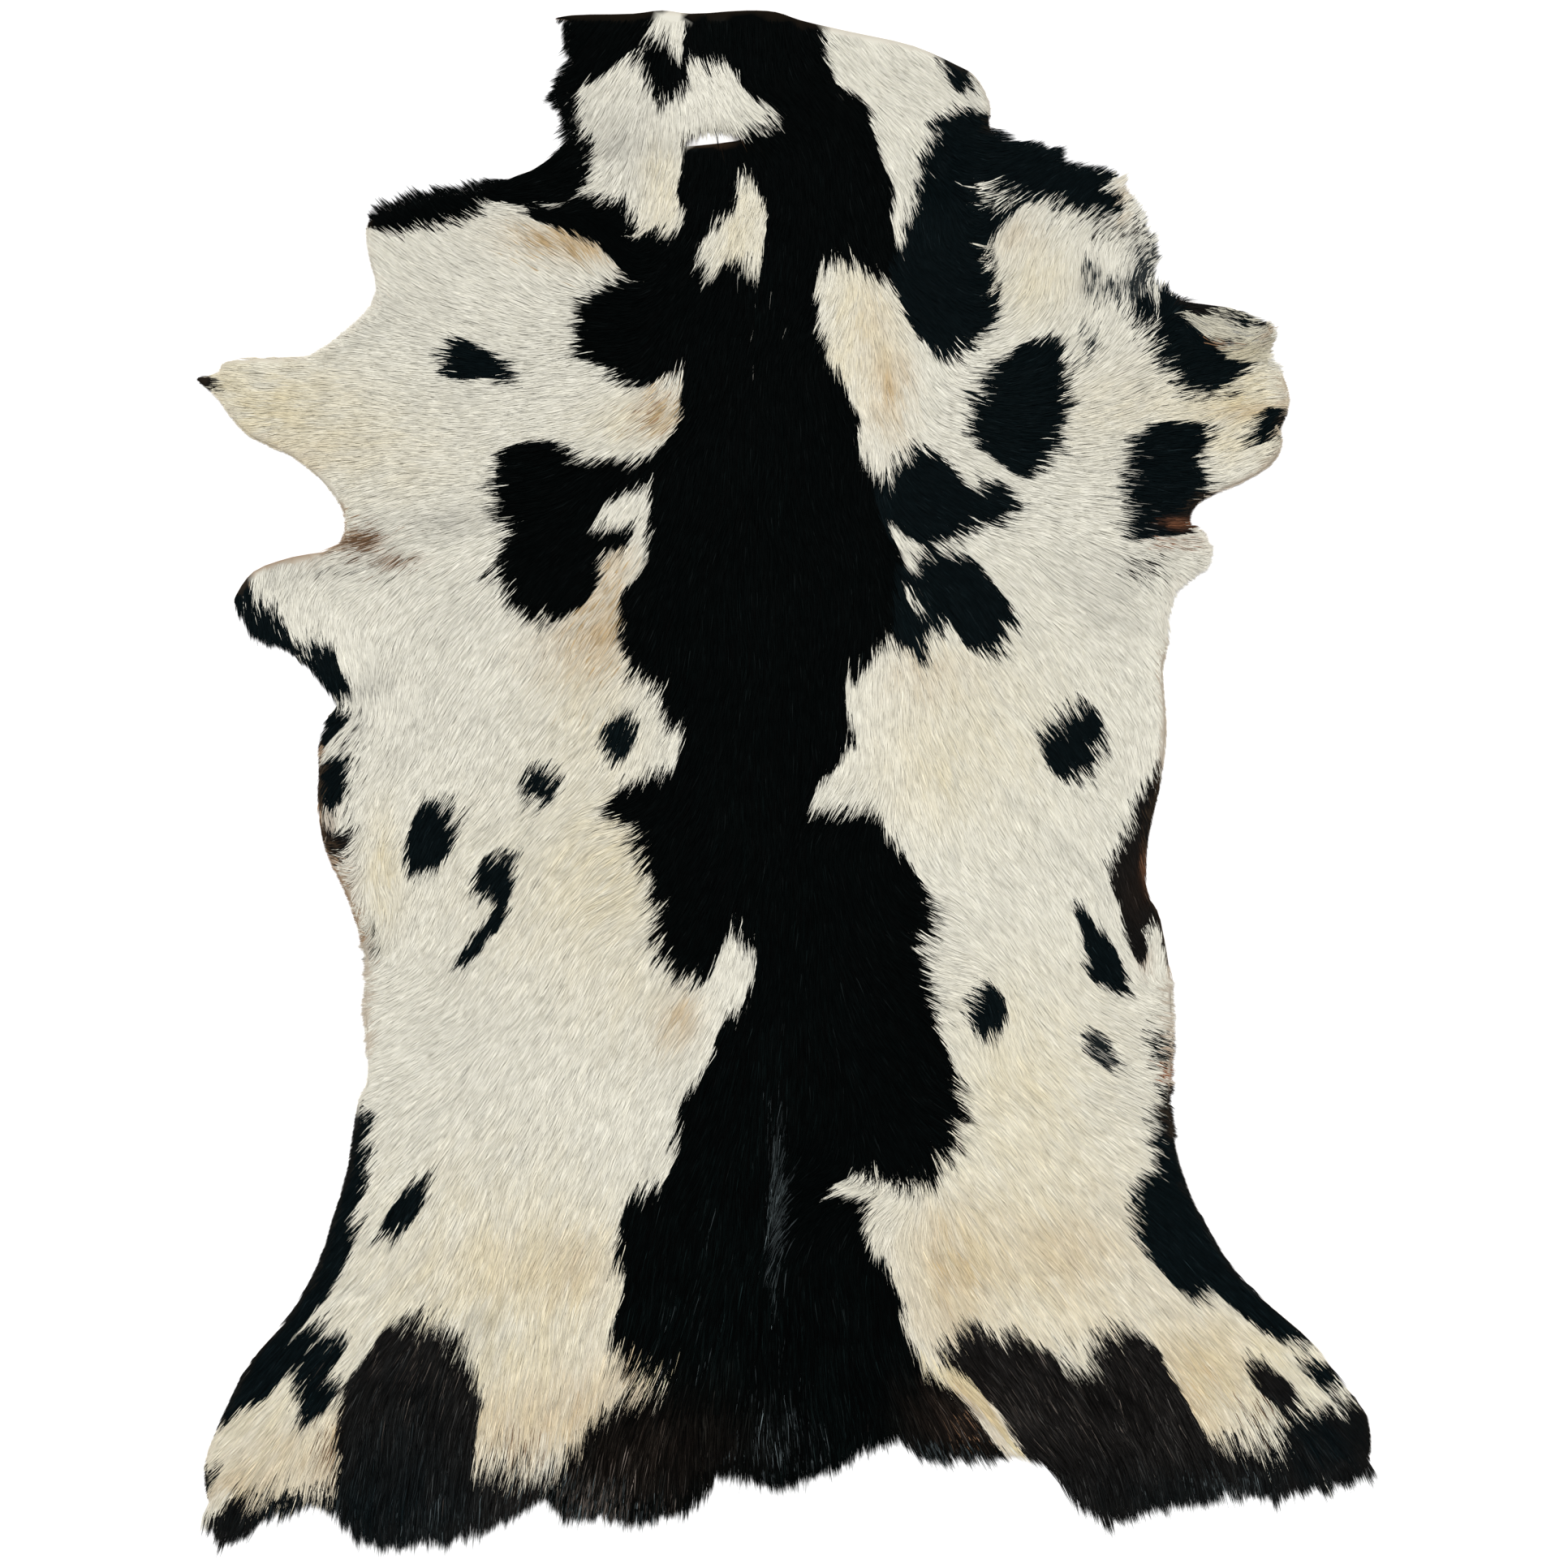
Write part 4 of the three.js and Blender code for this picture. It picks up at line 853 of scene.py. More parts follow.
# Camera and light
VIEW_SIDE = 0.966  # width of the floor that the picture takes in
VIEW_MIDDLE = (0, -0.002)
VIEW_HEIGHT = 0.004  # height over the floor at which that width holds
LENS = 100
SENSOR = 36
SKY_STRENGTH = 0.62
SUN_STRENGTH = 2.5
SUN_ANGLE = 24
SUN_FROM = (-0.12, 0.7, 1.5)
FLOOR_HALF = 6
FLOOR_COLOUR = (0.92, 0.92, 0.92)


# Helpers


def linear(colour):
    """A screen colour of 0 to 255 as linear light."""
    c = np.asarray(colour, float) / 255
    return np.where(c <= 0.04045, c / 12.92, ((c + 0.055) / 1.055) ** 2.4)


def chart(points):
    """Chart points as metres in the frame."""
    at = np.asarray(points, float)
    return np.column_stack(((at[:, 0] - CHART_SPINE) * CHART_UNIT, (CHART_MIDDLE - at[:, 1]) * CHART_UNIT))


def inside(points, outline):
    """Which points lie inside a closed outline."""
    low, high = outline.min(0), outline.max(0)
    near = np.flatnonzero(((points >= low) & (points <= high)).all(1))
    x, y = points[near].T
    hit = np.zeros(len(near), bool)
    for (x0, y0), (x1, y1) in zip(outline, np.roll(outline, -1, axis=0)):
        if y0 != y1:
            hit ^= ((y0 > y) != (y1 > y)) & (x < (x1 - x0) * (y - y0) / (y1 - y0) + x0)
    found = np.zeros(len(points), bool)
    found[near[hit]] = True
    return found


def shoelace(outline):
    """Twice the area inside an outline, less than nothing where it runs clockwise."""
    ahead = np.roll(outline, -1, axis=0)
    return (outline[:, 0] * ahead[:, 1] - ahead[:, 0] * outline[:, 1]).sum()


def grown(outline, by):
    """An outline moved outwards by so much all round."""
    run = np.roll(outline, -1, axis=0) - np.roll(outline, 1, axis=0)
    out = np.column_stack((run[:, 1], -run[:, 0])) * math.copysign(1, shoelace(outline))
    return outline + by * out / np.maximum(np.linalg.norm(out, axis=1), 1e-9)[:, None]


def line_gap(points, a, b):
    """How far points lie from the nearest of many straight lines from a to b, and which one that is."""
    run = b - a
    to = points[:, None] - a
    along = np.clip((to * run).sum(-1) / (run**2).sum(-1), 0, 1)
    gap = np.linalg.norm(to - along[..., None] * run, axis=-1)
    nearest = gap.argmin(1)
    return gap[np.arange(len(points)), nearest], nearest


def knot_gap(a, b):
    """The step between two points of a smooth line, as the square root of the distance between them."""
    return np.sqrt(np.linalg.norm(b - a, axis=1))[:, None]


def smooth_line(points, steps):
    """A closed smooth line through the points, and which of them each point of the line follows."""
    p0, p1, p2, p3 = (np.roll(points, shift, axis=0) for shift in (1, 0, -1, -2))
    t1 = knot_gap(p0, p1)
    t2 = t1 + knot_gap(p1, p2)
    t3 = t2 + knot_gap(p2, p3)
    line = []
    for k in range(steps):
        t = t1 + (t2 - t1) * k / steps
        a1 = p0 * (t1 - t) / t1 + p1 * t / t1
        a2 = p1 * (t2 - t) / (t2 - t1) + p2 * (t - t1) / (t2 - t1)
        a3 = p2 * (t3 - t) / (t3 - t2) + p3 * (t - t2) / (t3 - t2)
        b1 = a1 * (t2 - t) / t2 + a2 * t / t2
        b2 = a2 * (t3 - t) / (t3 - t1) + a3 * (t - t1) / (t3 - t1)
        line.append(b1 * (t2 - t) / (t2 - t1) + b2 * (t - t1) / (t2 - t1))
    owner = np.repeat(np.arange(len(points)), steps)
    return np.stack(line, axis=1).reshape(-1, 2), owner


def between(values, i, j, fx, fy):
    """Values of a grid between its points: fx and fy are the shares of the way to the next ones."""
    front = values[i, j] * (1 - fx) + values[i + 1, j] * fx
    back = values[i, j + 1] * (1 - fx) + values[i + 1, j + 1] * fx
    return front * (1 - fy) + back * fy


def wander(points, cell, seed):
    """A soft random field from -1 to 1 that changes over about one cell."""
    values = np.random.default_rng(seed).uniform(-1, 1, (LATTICE, LATTICE))
    at = points / cell + LATTICE_SHIFT
    low = np.floor(at).astype(int)
    f = at - low
    f = f * f * (3 - 2 * f)
    i, j = (low % (LATTICE - 1)).T
    return between(values, i, j, f[:, 0], f[:, 1])


def clump(points, cell, seed):
    """The middle of the clump that each point belongs to, and three random values of that clump."""
    rng = np.random.default_rng(seed)
    spread = rng.uniform(*CLUMP_SPREAD, (LATTICE, LATTICE, 2))
    values = rng.uniform(-1, 1, (LATTICE, LATTICE, 3))
    base = np.floor(points / cell).astype(int)
    best = np.full(len(points), np.inf)
    middle = np.zeros_like(points)
    own = np.zeros((len(points), 3))
    for shift in np.ndindex(3, 3):
        cells = base + shift - (1, 1)
        i, j = (cells % LATTICE).T
        spot = (cells + spread[i, j]) * cell
        gap = ((points - spot) ** 2).sum(1)
        nearer = gap < best
        best[nearer] = gap[nearer]
        middle[nearer] = spot[nearer]
        own[nearer] = values[i, j][nearer]
    return middle, own


def even_grid(low, high, step, disorder, rng):
    """Points on an even grid from one corner to another, each moved by up to a share of the step."""
    xs, ys = (np.arange(low[k], high[k], step) for k in (0, 1))
    at = np.stack(np.meshgrid(xs, ys, indexing="ij"), axis=-1).reshape(-1, 2)
    return at + rng.uniform(-disorder, disorder, at.shape) * step


def heading_to(angle):
    """Steps of length 1 at these angles from +X."""
    return np.column_stack((np.cos(angle), np.sin(angle)))


class Field:
    """Values on an even grid over the skin, read between its points."""

    def __init__(self, step, values_at):
        self.step = step
        self.count = [int(2 * half / step) + 2 for half in GRID_HALF]
        xs, ys = (np.arange(count) * step - half for count, half in zip(self.count, GRID_HALF))
        at = np.stack(np.meshgrid(xs, ys, indexing="ij"), axis=-1).reshape(-1, 2)
        self.values = np.asarray(values_at(at), float).reshape(*self.count, -1)

    def at(self, points):
        u = (points + GRID_HALF) / self.step
        u = np.clip(u, 0, [count - 1.001 for count in self.count])
        low = u.astype(int)
        f = (u - low)[:, :, None]
        return between(self.values, *low.T, f[:, 0], f[:, 1])


# The rim and the slit


def slit_outline(grow=0.0):
    """The slit's outline, larger all round by so many metres."""
    line = chart(SLIT)
    out = line - line.mean(0)
    return line + grow * out / np.linalg.norm(out, axis=1)[:, None]


rim_points = np.array([point for *_, points in RIM for point in points]) / MM
rim_values = np.array([(reach / MM, bare) for _, reach, bare, points in RIM for _ in points])
rim, rim_owner = smooth_line(rim_points, CURVE_STEPS)
rim_values = rim_values[rim_owner]
slit = slit_outline()
slit_core = slit_outline(-SLIT_INSET)


def rim_measures(points):
    """How deep points lie inside the rim, less than nothing outside, and the two values of the rim there."""
    found = np.empty((len(points), 3))
    for part in np.array_split(np.arange(len(points)), BATCHES):
        gap, nearest = line_gap(points[part], rim, np.roll(rim, -1, axis=0))
        found[part, 0] = np.where(inside(points[part], rim), gap, -gap)
        found[part, 1:] = rim_values[nearest]
    return found


rim_field = Field(RIM_STEP, rim_measures)


# Heights of the skin, from the folds of the solid

tree = BVHTree.FromObject(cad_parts["goatskin"], bpy.context.evaluated_depsgraph_get())


def crease_share(at, points, half_width):
    """1 along a crease, less away from it."""
    line = chart(points)
    gap, _ = line_gap(at, line[:-1], line[1:])
    return np.exp(-((gap / (half_width / MM)) ** 2))


def crease_shades(at):
    """Share of light that reaches the hair, less in creases."""
    left = np.ones(len(at))
    for _, half_width, _, shade, points in CREASES:
        left -= shade * crease_share(at, points, half_width) * left
    return left


def measured_heights(at):
    """Height of the skin's upper side, a coat's depth under the solid's. Nothing outside the solid."""
    heights = np.zeros(len(at))
    up, down = Vector((0, 0, 1)), Vector((0, 0, -1))
    least = SKIN_THICK + FLOOR_GAP
    for k, (x, y) in enumerate(at):
        low = tree.ray_cast(Vector((x, y, -1)), up)[0]
        if low is not None:
            high = tree.ray_cast(Vector((x, y, 1)), down)[0]
            heights[k] = max(low.z + least, high.z - COAT_DEPTH)
    folded = heights.copy()
    for _, half_width, height, _, points in CREASES:
        folded += height / MM * crease_share(at, points, half_width)
    return np.where(heights > 0, np.maximum(folded, least), 0)


skin_heights = Field(HEIGHT_STEP, measured_heights)
crease_light = Field(RIM_STEP, crease_shades)


def skin_top(points):
    """Height of the skin's upper side."""
    return skin_heights.at(points)[:, 0]


# Growth of the hair

growth = np.array(GROWTH, float)
growth_at = chart(growth[:, :2])
growth_way = heading_to(np.radians(growth[:, 2]))
growth_length = growth[:, 3] * CHART_UNIT * HAIR_OVERLAP
growth_values = np.column_stack((growth_way, growth_length))


def blended_growth(at):
    """Heading and length of the hair, from all rows of the growth table, the nearest most."""
    gap = ((at[:, None] - growth_at) ** 2).sum(-1) + GROWTH_REACH**2
    weight = gap**-GROWTH_FADE
    return (weight[:, :, None] * growth_values).sum(1) / weight.sum(1)[:, None]


growth_field = Field(GROWTH_STEP, blended_growth)


def hair_heading(points):
    """Angle and length of the hair."""
    way = growth_field.at(points)
    angle = np.arctan2(way[:, 1], way[:, 0])
    angle += np.radians(sum(turn * wander(points, *field) for turn, field in TURNS))
    return angle, way[:, 2]


# Colour of the hair

shade_colours = {name: linear(shade) for name, shade in SHADES.items()}


def patches_at(points):
    """Linear colour of the patch that each point lies in, and whether it is a dark one."""
    colour = np.tile(shade_colours["white"], (len(points), 1))
    dark = np.zeros(len(points), bool)
    for _, name, outline in PATCHES:
        line = chart(outline)
        if name in DARK_SPREAD:
            line = grown(line, DARK_SPREAD[name] * CHART_UNIT)
        hit = inside(points, line)
        colour[hit] = shade_colours[name]
        dark[hit] = name in DARK_SPREAD
    return colour, dark


def spot_share(points, x, y, across, along):
    """1 at the middle of a soft round spot on the chart, less away from it."""
    gap = (points - chart([(x, y)])[0]) / (across * CHART_UNIT, along * CHART_UNIT)
    return np.exp(-(gap**2).sum(1))


def coat_colours(points):
    """Linear colour of the coat at each point, and whether it is dark there."""
    colour, dark = patches_at(points)
    mean, change = TINT_LEVELS
    for _, on, name, x, y, across, along, strength in TINTS:
        share = strength * spot_share(points, x, y, across, along)
        share = np.clip(share * (mean + change * wander(points, TINT_CELL, x)), 0, 1)
        share = share * (dark == (on == "dark"))
        colour += share[:, None] * (shade_colours[name] - colour)
    depth, _, bare = rim_field.at(points).T
    bare = bare * np.exp(-((np.maximum(depth, 0) / LEATHER_DEPTH) ** 2))
    bare = bare * np.where(dark, LEATHER_ON_DARK, 1)
    colour += bare[:, None] * (linear(LEATHER) * LEATHER_TONE - colour)
    return colour, dark


def streaked(colour, dark, points, mix):
    """The colours with hairs of another colour among them. Mix, from 0 to 1, picks these hairs."""
    for row, (_, on, name, x, y, across, along, share) in enumerate(STREAKS):
        chance = share * spot_share(points, x, y, across, along)
        picked = ((mix + STREAK_SHIFT * row) % 1 < chance) & (dark == (on == "dark"))
        colour[picked] = shade_colours[name]
    return colour


def lit(colour, dark, points, rng):
    """The colours with greyish pale hairs as painted shadow, lighter dark hairs as painted sheen, and painted
    shade in creases.
    """
    pick = rng.random(len(points))
    # Pale hairs made greyish: painted shadow between the hairs.
    grey = ~dark & (pick < PALE_SHADOW_SHARE)
    colour[grey] = colour[grey] * PALE_SHADOW_TONE
    # Dark hairs made lighter: painted sheen.
    steel_grey_and_sheen = dark & (pick < DARK_SHEEN_SHARE)
    colour[steel_grey_and_sheen] = colour[steel_grey_and_sheen] * DARK_SHEEN_TONE + DARK_SHEEN_LEAST
    # Colour darkened along the creases: painted shade.
    return colour * crease_light.at(points)


# The sheet of skin


def flat_skin(rng):
    """Points and triangles of the skin laid out flat, with the slit left open."""
    spots = even_grid(rim.min(0), rim.max(0), SKIN_STEP, SKIN_DISORDER, rng)
    spots = spots[inside(spots, rim) & ~inside(spots, slit_outline(SLIT_CLEAR))]
    spots = spots[rim_field.at(spots)[:, 0] > RIM_CLEAR * SKIN_STEP]
    edges = [(k, (k + 1) % len(rim)) for k in range(len(rim))]
    edges += [(len(rim) + k, len(rim) + (k + 1) % len(slit)) for k in range(len(slit))]
    flat = [Vector(p) for p in np.concatenate((rim, slit, spots))]
    points, _, faces, *_ = delaunay_2d_cdt(flat, edges, [], 1, MERGE_GAP)
    points = np.array([tuple(p) for p in points])
    faces = np.array(faces)
    middles = points[faces].mean(1)
    faces = faces[inside(middles, rim) & ~inside(middles, slit)]
    used = np.unique(faces)
    renumber = np.zeros(len(points), int)
    renumber[used] = np.arange(len(used))
    return points[used], renumber[faces]


def border_edges(faces, count):
    """The edges that only one triangle has, each in that triangle's direction."""
    directed = np.concatenate((faces[:, [0, 1]], faces[:, [1, 2]], faces[:, [2, 0]]))
    code = directed[:, 0] * count + directed[:, 1]
    back = directed[:, 1] * count + directed[:, 0]
    return directed[~np.isin(code, back)]


def skin_mesh():
    """The skin as a thin closed sheet on its folds, coloured as the coat above and as leather below."""
    rng = np.random.default_rng(SEED)
    points, faces = flat_skin(rng)
    n = len(points)
    upper = np.column_stack((points, np.maximum(skin_top(points), SKIN_THICK + FLOOR_GAP)))
    lower = upper - (0, 0, SKIN_THICK)
    start, end = border_edges(faces, n).T
    walls = np.column_stack((end, start, start + n, end + n))
    mesh = bpy.data.meshes.new("skin")
    mesh.from_pydata(
        np.concatenate((upper, lower)).tolist(),
        [],
        faces.tolist() + (faces[:, ::-1] + n).tolist() + walls.tolist(),
    )
    mesh.polygons.foreach_set("use_smooth", np.ones(len(mesh.polygons), bool))
    colours = np.ones((2 * n, 4))
    # The upper side takes the coat's colour, darkened as painted shade between the hairs.
    colours[:n, :3] = lit(*coat_colours(points), points, rng) * SHEET_PAINTED_SHADE
    colours[n:, :3] = linear(LEATHER)
    layer = mesh.attributes.new("skin_colour", "FLOAT_COLOR", "POINT")
    layer.data.foreach_set("color", colours.ravel())
    mesh.update()
    return mesh


# The coat


def hair_roots(rng):
    """Where hairs grow: all over the skin, up to the rim and the slit."""
    root = even_grid(rim.min(0), rim.max(0), HAIR_SPACING, 0.5, rng)
    depth = rim_field.at(root)[:, 0]
    doubtful = np.flatnonzero(np.abs(depth) < RIM_STEP)
    within = depth > 0
    within[doubtful] = inside(root[doubtful], rim)
    return root[within & ~inside(root, slit_outline(ROOTLESS_EDGE))]


def combed_tips(root, lock, lock_own, wisp, wisp_own, rng):
    """Where hairs end, drawn from their own way towards the ways of their wisp and their lock."""
    angle, length = hair_heading(root)
    reach = (length * rng.uniform(*LENGTH_RANGE, len(root)))[:, None]
    angle = angle + np.radians(rng.normal(0, HAIR_STRAY, len(root)))
    lock_angle = hair_heading(lock)[0] + np.radians(CLUMP_STRAY) * lock_own[:, 0]
    wisp_angle = hair_heading(wisp)[0] + np.radians(CLUMP_STRAY) * wisp_own[:, 0]
    ways = ((root, angle), (wisp, wisp_angle), (lock, lock_angle))
    return sum(share * (start + reach * heading_to(turn)) for share, (start, turn) in zip(COMBED, ways))


def clumped(shares, lock_value, wisp_value):
    """A mean with its changes from lock to lock and from wisp to wisp."""
    mean, by_lock, by_wisp = shares
    return mean + by_lock * lock_value + by_wisp * wisp_value


def cut_back(root, tip, lock_own, wisp_own, rng):
    """The tips, with hairs cut back that pass the rim or lie over the slit too far."""
    allowed = np.clip(clumped(REACH_SHARES, lock_own[:, 2], wisp_own[:, 2]), *REACH_LIMITS)
    allowed = allowed * rng.uniform(*REACH_RANGE, len(root))
    hangs = rng.random(len(root))
    doubt = np.arange(len(root))
    for _ in range(CUTS):
        start, end = root[doubt], tip[doubt]
        inner, reach, _ = rim_field.at(end).T
        too_long = inner < -(reach * allowed[doubt] + PAST_RIM)
        for place, hanging in SLIT_HANG:
            over = inside((1 - place) * start + place * end, slit_core)
            too_long |= over & (hangs[doubt] >= hanging)
        doubt = doubt[too_long]
        tip[doubt] = root[doubt] + CUT_BACK * (tip[doubt] - root[doubt])
    return tip


def blade_side(middle, across, rng):
    """Half of a blade's width, as the way from its middle to its side. It follows the slope of the skin."""
    twist = np.radians(rng.normal(0, HAIR_TWIST, len(middle)))
    half = HAIR_WIDTH / 2 * rng.uniform(*WIDTH_RANGE, len(middle))
    aside = SLOPE_REACH * across
    slope = (skin_top(middle + aside) - skin_top(middle - aside)) / (2 * SLOPE_REACH)
    flat_half = half * np.cos(twist)
    return np.column_stack((across * flat_half[:, None], half * np.sin(twist) + flat_half * slope))


def streaks_of_tone(root, shows):
    """A soft random field that is stretched along the hair, in swaths."""
    swath, own = clump(root, *SWATH)
    way = heading_to(hair_heading(swath)[0])
    off = shows - swath
    along = (off * way).sum(1) / STREAK_LENGTH + STREAK_SPREAD * own[:, 0]
    across = (off[:, 1] * way[:, 0] - off[:, 0] * way[:, 1]) / STREAK_WIDTH + STREAK_SPREAD * own[:, 1]
    return wander(np.column_stack((across, along)), 1, STREAK_SEED)


def hair_colours(root, tip, length, way, lock_own, wisp, wisp_own, rng):
    """Linear colour of each hair, ragged along the hair where patches meet."""
    shows = root + SHOWN_AT * (tip - root)
    shows = (1 - SHOWN_BY_WISP) * shows + SHOWN_BY_WISP * (wisp + SHOWN_AT * (tip - root))
    core = 1 - np.clip(np.linalg.norm(root - wisp, axis=1) / CORE_SIZE, 0, 1)
    by_lock, by_wisp, by_core = RAGGED
    ragged = by_lock * lock_own[:, 2] + by_wisp * wisp_own[:, 1] + by_core * (core - CORE_MEAN)
    ragged = ragged + RAGGED_HAIR * rng.normal(size=len(root))
    shows = shows + way * (ragged * np.clip(length / RAGGED_LENGTH, *RAGGED_LIMITS))[:, None]
    mix = (WISP_PICK * (wisp_own[:, 0] + 1) + HAIR_PICK * rng.random(len(root))) % 1
    colour, dark = coat_colours(shows)
    colour = lit(streaked(colour, dark, shows, mix), dark, shows, rng)

    starts, over = LONG_HAIR
    long_hair = np.clip((length / CHART_UNIT / HAIR_OVERLAP - starts) / over, 0, 1)
    causes = {
        "pale hair": rng.normal(size=len(root)),
        "dark hair": rng.normal(size=len(root)),
        "wisp": wisp_own[:, 2],
        "lock": lock_own[:, 0],
        "area": wander(root, *AREA),
        "sheen": wander(root, *SHEEN),
        "streak": streaks_of_tone(root, shows),
    }
    pale_tone, dark_tone = (
        sum((short + more * long_hair) * causes[cause] for cause, short, more in table)
        for table in (PALE_TONES, DARK_TONES)
    )
    bright = np.exp(np.where(dark, dark_tone, pale_tone))
    return np.clip(colour * bright[:, None], LEAST_COLOUR, MOST_COLOUR)


def hairs():
    """Every hair's root, middle and tip, the way from its middle to its side, and its colour."""
    rng = np.random.default_rng(SEED + 1)
    root = hair_roots(rng)
    lock, lock_own = clump(root, *LOCK)
    wisp, wisp_own = clump(root, *WISP)
    tip = combed_tips(root, lock, lock_own, wisp, wisp_own, rng)
    tip = cut_back(root, tip, lock_own, wisp_own, rng)
    way = tip - root
    length = np.linalg.norm(way, axis=1)
    way = way / length[:, None]
    across = np.column_stack((-way[:, 1], way[:, 0]))
    together, single = HAIR_BEND
    bend = length * (together * wander(root, *BEND) + rng.normal(0, single, len(root)))
    middle = (root + tip) / 2 + across * bend[:, None]

    lift = HAIR_LIFT * clumped(LIFT_SHARES, lock_own[:, 1], wisp_own[:, 1])
    lift = lift * rng.uniform(*LIFT_RANGE, len(root)) * np.clip(length / LIFTED_LENGTH, *LIFT_LIMITS)
    tip_lift = np.where(rim_field.at(tip)[:, 0] < 0, TIP_LIFT_OFF_SKIN, TIP_LIFT) * lift
    root3 = np.column_stack((root, skin_top(root) - ROOT_DEPTH))
    middle3 = np.column_stack((middle, skin_top(middle) + MIDDLE_LIFT * lift))
    tip3 = np.column_stack((tip, np.maximum(skin_top(tip) + tip_lift, LEAST_TIP)))
    side = blade_side(middle, across, rng)
    colour = hair_colours(root, tip, length, way, lock_own, wisp, wisp_own, rng)
    return root3, middle3, tip3, side, colour


# Corners of a blade's two faces, by number: 0 its root, 1 and 2 its sides, 3 its tip
BLADE_CORNERS = [0, 1, 2, 1, 3, 2]
# Where these four lie in the blade's own square of the map for baking
BLADE_MAP = np.array([(0.5, 0.06), (0.94, 0.5), (0.06, 0.5), (0.5, 0.94)])


def coat_piece(name, picked, parts, material):
    """One mesh of hairs, each two long faces that meet at its widest place."""
    root, middle, tip, side, colour = (part[picked] for part in parts)
    n = len(picked)
    places = np.stack((root, middle - side, middle + side, tip), axis=1)
    first = np.arange(n)[:, None]
    mesh = bpy.data.meshes.new(name)
    mesh.vertices.add(4 * n)
    mesh.vertices.foreach_set("co", places.ravel())
    mesh.loops.add(6 * n)
    mesh.loops.foreach_set("vertex_index", (4 * first + BLADE_CORNERS).ravel())
    mesh.polygons.add(2 * n)
    mesh.polygons.foreach_set("loop_start", (6 * first + [0, 3]).ravel())
    mesh.update(calc_edges=True)

    shown = np.ones((n, 4, 4))
    # Each blade is darker at its root and a little lighter at its tip: painted shade.
    for corner, tone in enumerate(BLADE_PAINTED_SHADE):
        shown[:, corner, :3] = np.clip(colour * tone, 0, MOST_TIP_COLOUR)
    layer = mesh.attributes.new("hair_colour", "FLOAT_COLOR", "POINT")
    layer.data.foreach_set("color", shown.ravel())
    cells = math.ceil(math.sqrt(n))
    cell = np.column_stack((np.arange(n) % cells, np.arange(n) // cells))
    uv = mesh.uv_layers.new(name="OFBake")
    uv.data.foreach_set("uv", ((cell[:, None] + BLADE_MAP[BLADE_CORNERS]) / cells).ravel())
    return placed(name, mesh, material)


def placed(name, mesh, material):
    """An object in the scene with this mesh and material."""
    mesh.materials.append(material)
    piece = bpy.data.objects.new(name, mesh)
    bpy.context.scene.collection.objects.link(piece)
    return piece


# Materials


def surface(name, roughness, shine):
    """A new material and its shader node."""
    material = bpy.data.materials.new(name)
    material.use_nodes = True
    shader = material.node_tree.nodes["Principled BSDF"]
    shader.inputs["Roughness"].default_value = roughness
    shader.inputs["Specular IOR Level"].default_value = shine
    return material, shader


def link_attribute(material, shader, attribute):
    """Takes the surface's colour from the mesh."""
    nodes, links = material.node_tree.nodes, material.node_tree.links
    source = nodes.new("ShaderNodeAttribute")
    source.attribute_name = attribute
    links.new(source.outputs["Color"], shader.inputs["Base Color"])


def add_grain(material, shader, scale, strength, depth):
    """A fine leather grain as bump."""
    nodes, links = material.node_tree.nodes, material.node_tree.links
    grain = nodes.new("ShaderNodeTexNoise")
    grain.inputs["Scale"].default_value = scale
    bump = nodes.new("ShaderNodeBump")
    bump.inputs["Strength"].default_value = strength
    bump.inputs["Distance"].default_value = depth
    links.new(grain.outputs["Fac"], bump.inputs["Height"])
    links.new(bump.outputs["Normal"], shader.inputs["Normal"])


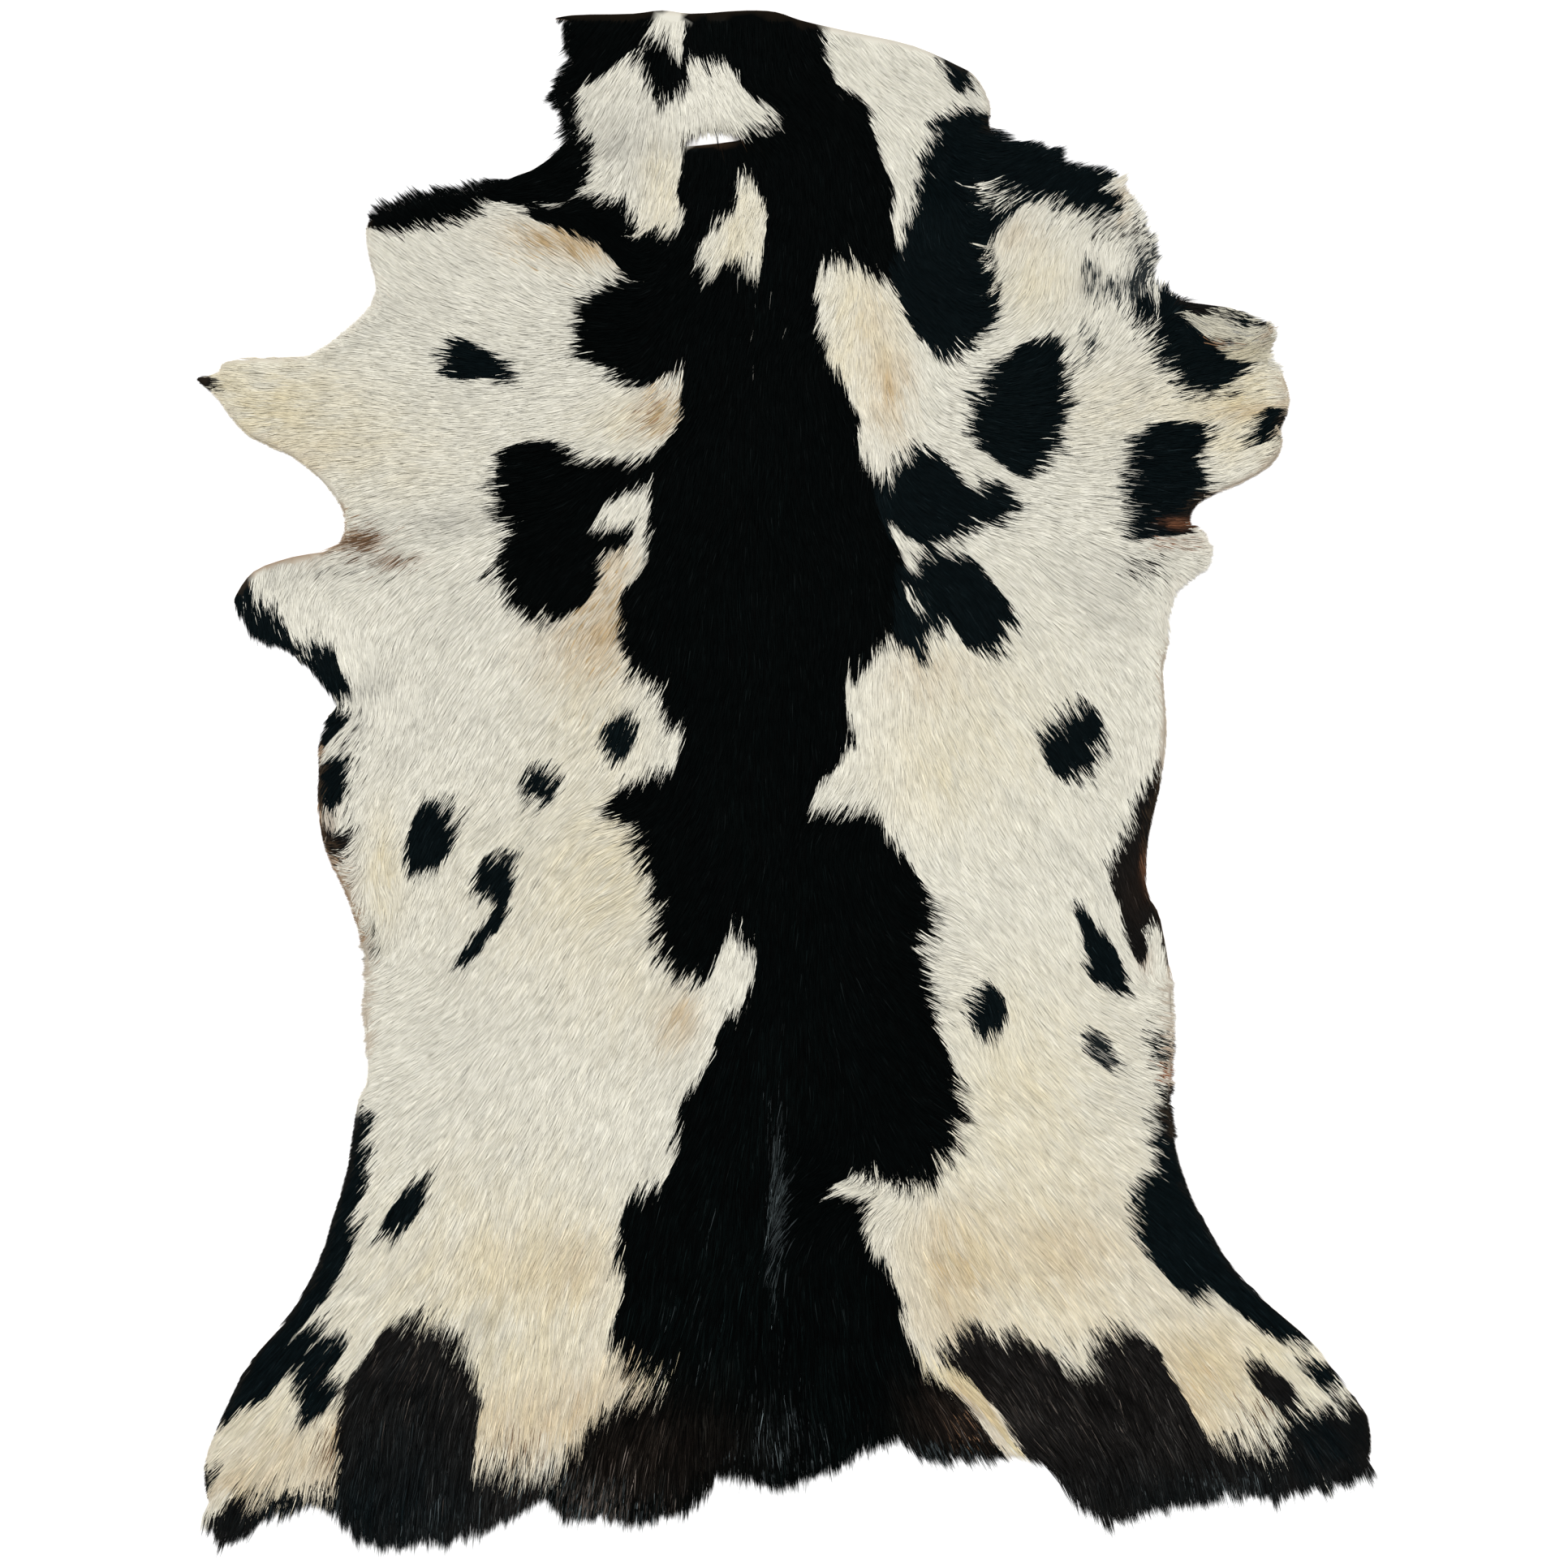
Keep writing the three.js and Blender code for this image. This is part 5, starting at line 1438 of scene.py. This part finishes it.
hair_material, hair_shader = surface("goat_hair", roughness=0.5, shine=0.008)
link_attribute(hair_material, hair_shader, "hair_colour")
skin_material, skin_shader = surface("tanned_skin", roughness=0.8, shine=0.02)
link_attribute(skin_material, skin_shader, "skin_colour")
add_grain(skin_material, skin_shader, scale=900, strength=0.25, depth=0.0004)

# The pieces

skin = placed("skin", skin_mesh(), skin_material)

coat = hairs()
order = np.argsort(-coat[0][:, 1], kind="stable")
coat_pieces = [
    coat_piece(name, np.sort(picked), coat, hair_material)
    for name, picked in zip(COAT_PIECES, np.array_split(order, len(COAT_PIECES)))
]

for piece in [skin, *coat_pieces]:
    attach(piece, "root")
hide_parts("goatskin")

# Floor, light and camera

floor_corners = [(x * FLOOR_HALF, y * FLOOR_HALF, 0) for x, y in ((-1, -1), (1, -1), (1, 1), (-1, 1))]
floor_data = bpy.data.meshes.new("floor")
floor_data.from_pydata(floor_corners, [], [(0, 1, 2, 3)])
floor_material, floor_shader = surface("pale_floor", roughness=0.9, shine=0.1)
floor_shader.inputs["Base Color"].default_value = (*FLOOR_COLOUR, 1)
floor = placed("floor", floor_data, floor_material)

scene = bpy.context.scene
scene.view_settings.view_transform = "Standard"
sky = bpy.data.worlds.new("studio")
sky.use_nodes = True
sky.node_tree.nodes["Background"].inputs["Color"].default_value = (1, 1, 1, 1)
sky.node_tree.nodes["Background"].inputs["Strength"].default_value = SKY_STRENGTH
scene.world = sky

sun_data = bpy.data.lights.new("key", "SUN")
sun_data.energy = SUN_STRENGTH
sun_data.angle = math.radians(SUN_ANGLE)
sun = bpy.data.objects.new("key", sun_data)
sun.rotation_mode = "QUATERNION"
sun.rotation_quaternion = (-Vector(SUN_FROM)).to_track_quat("-Z", "Y")
scene.collection.objects.link(sun)

camera_data = bpy.data.cameras.new("camera")
camera_data.lens = LENS
camera_data.sensor_width = SENSOR
camera = bpy.data.objects.new("camera", camera_data)
camera.location = (*VIEW_MIDDLE, VIEW_SIDE * LENS / SENSOR + VIEW_HEIGHT)
scene.collection.objects.link(camera)
scene.camera = camera

bpy.context.view_layer.update()
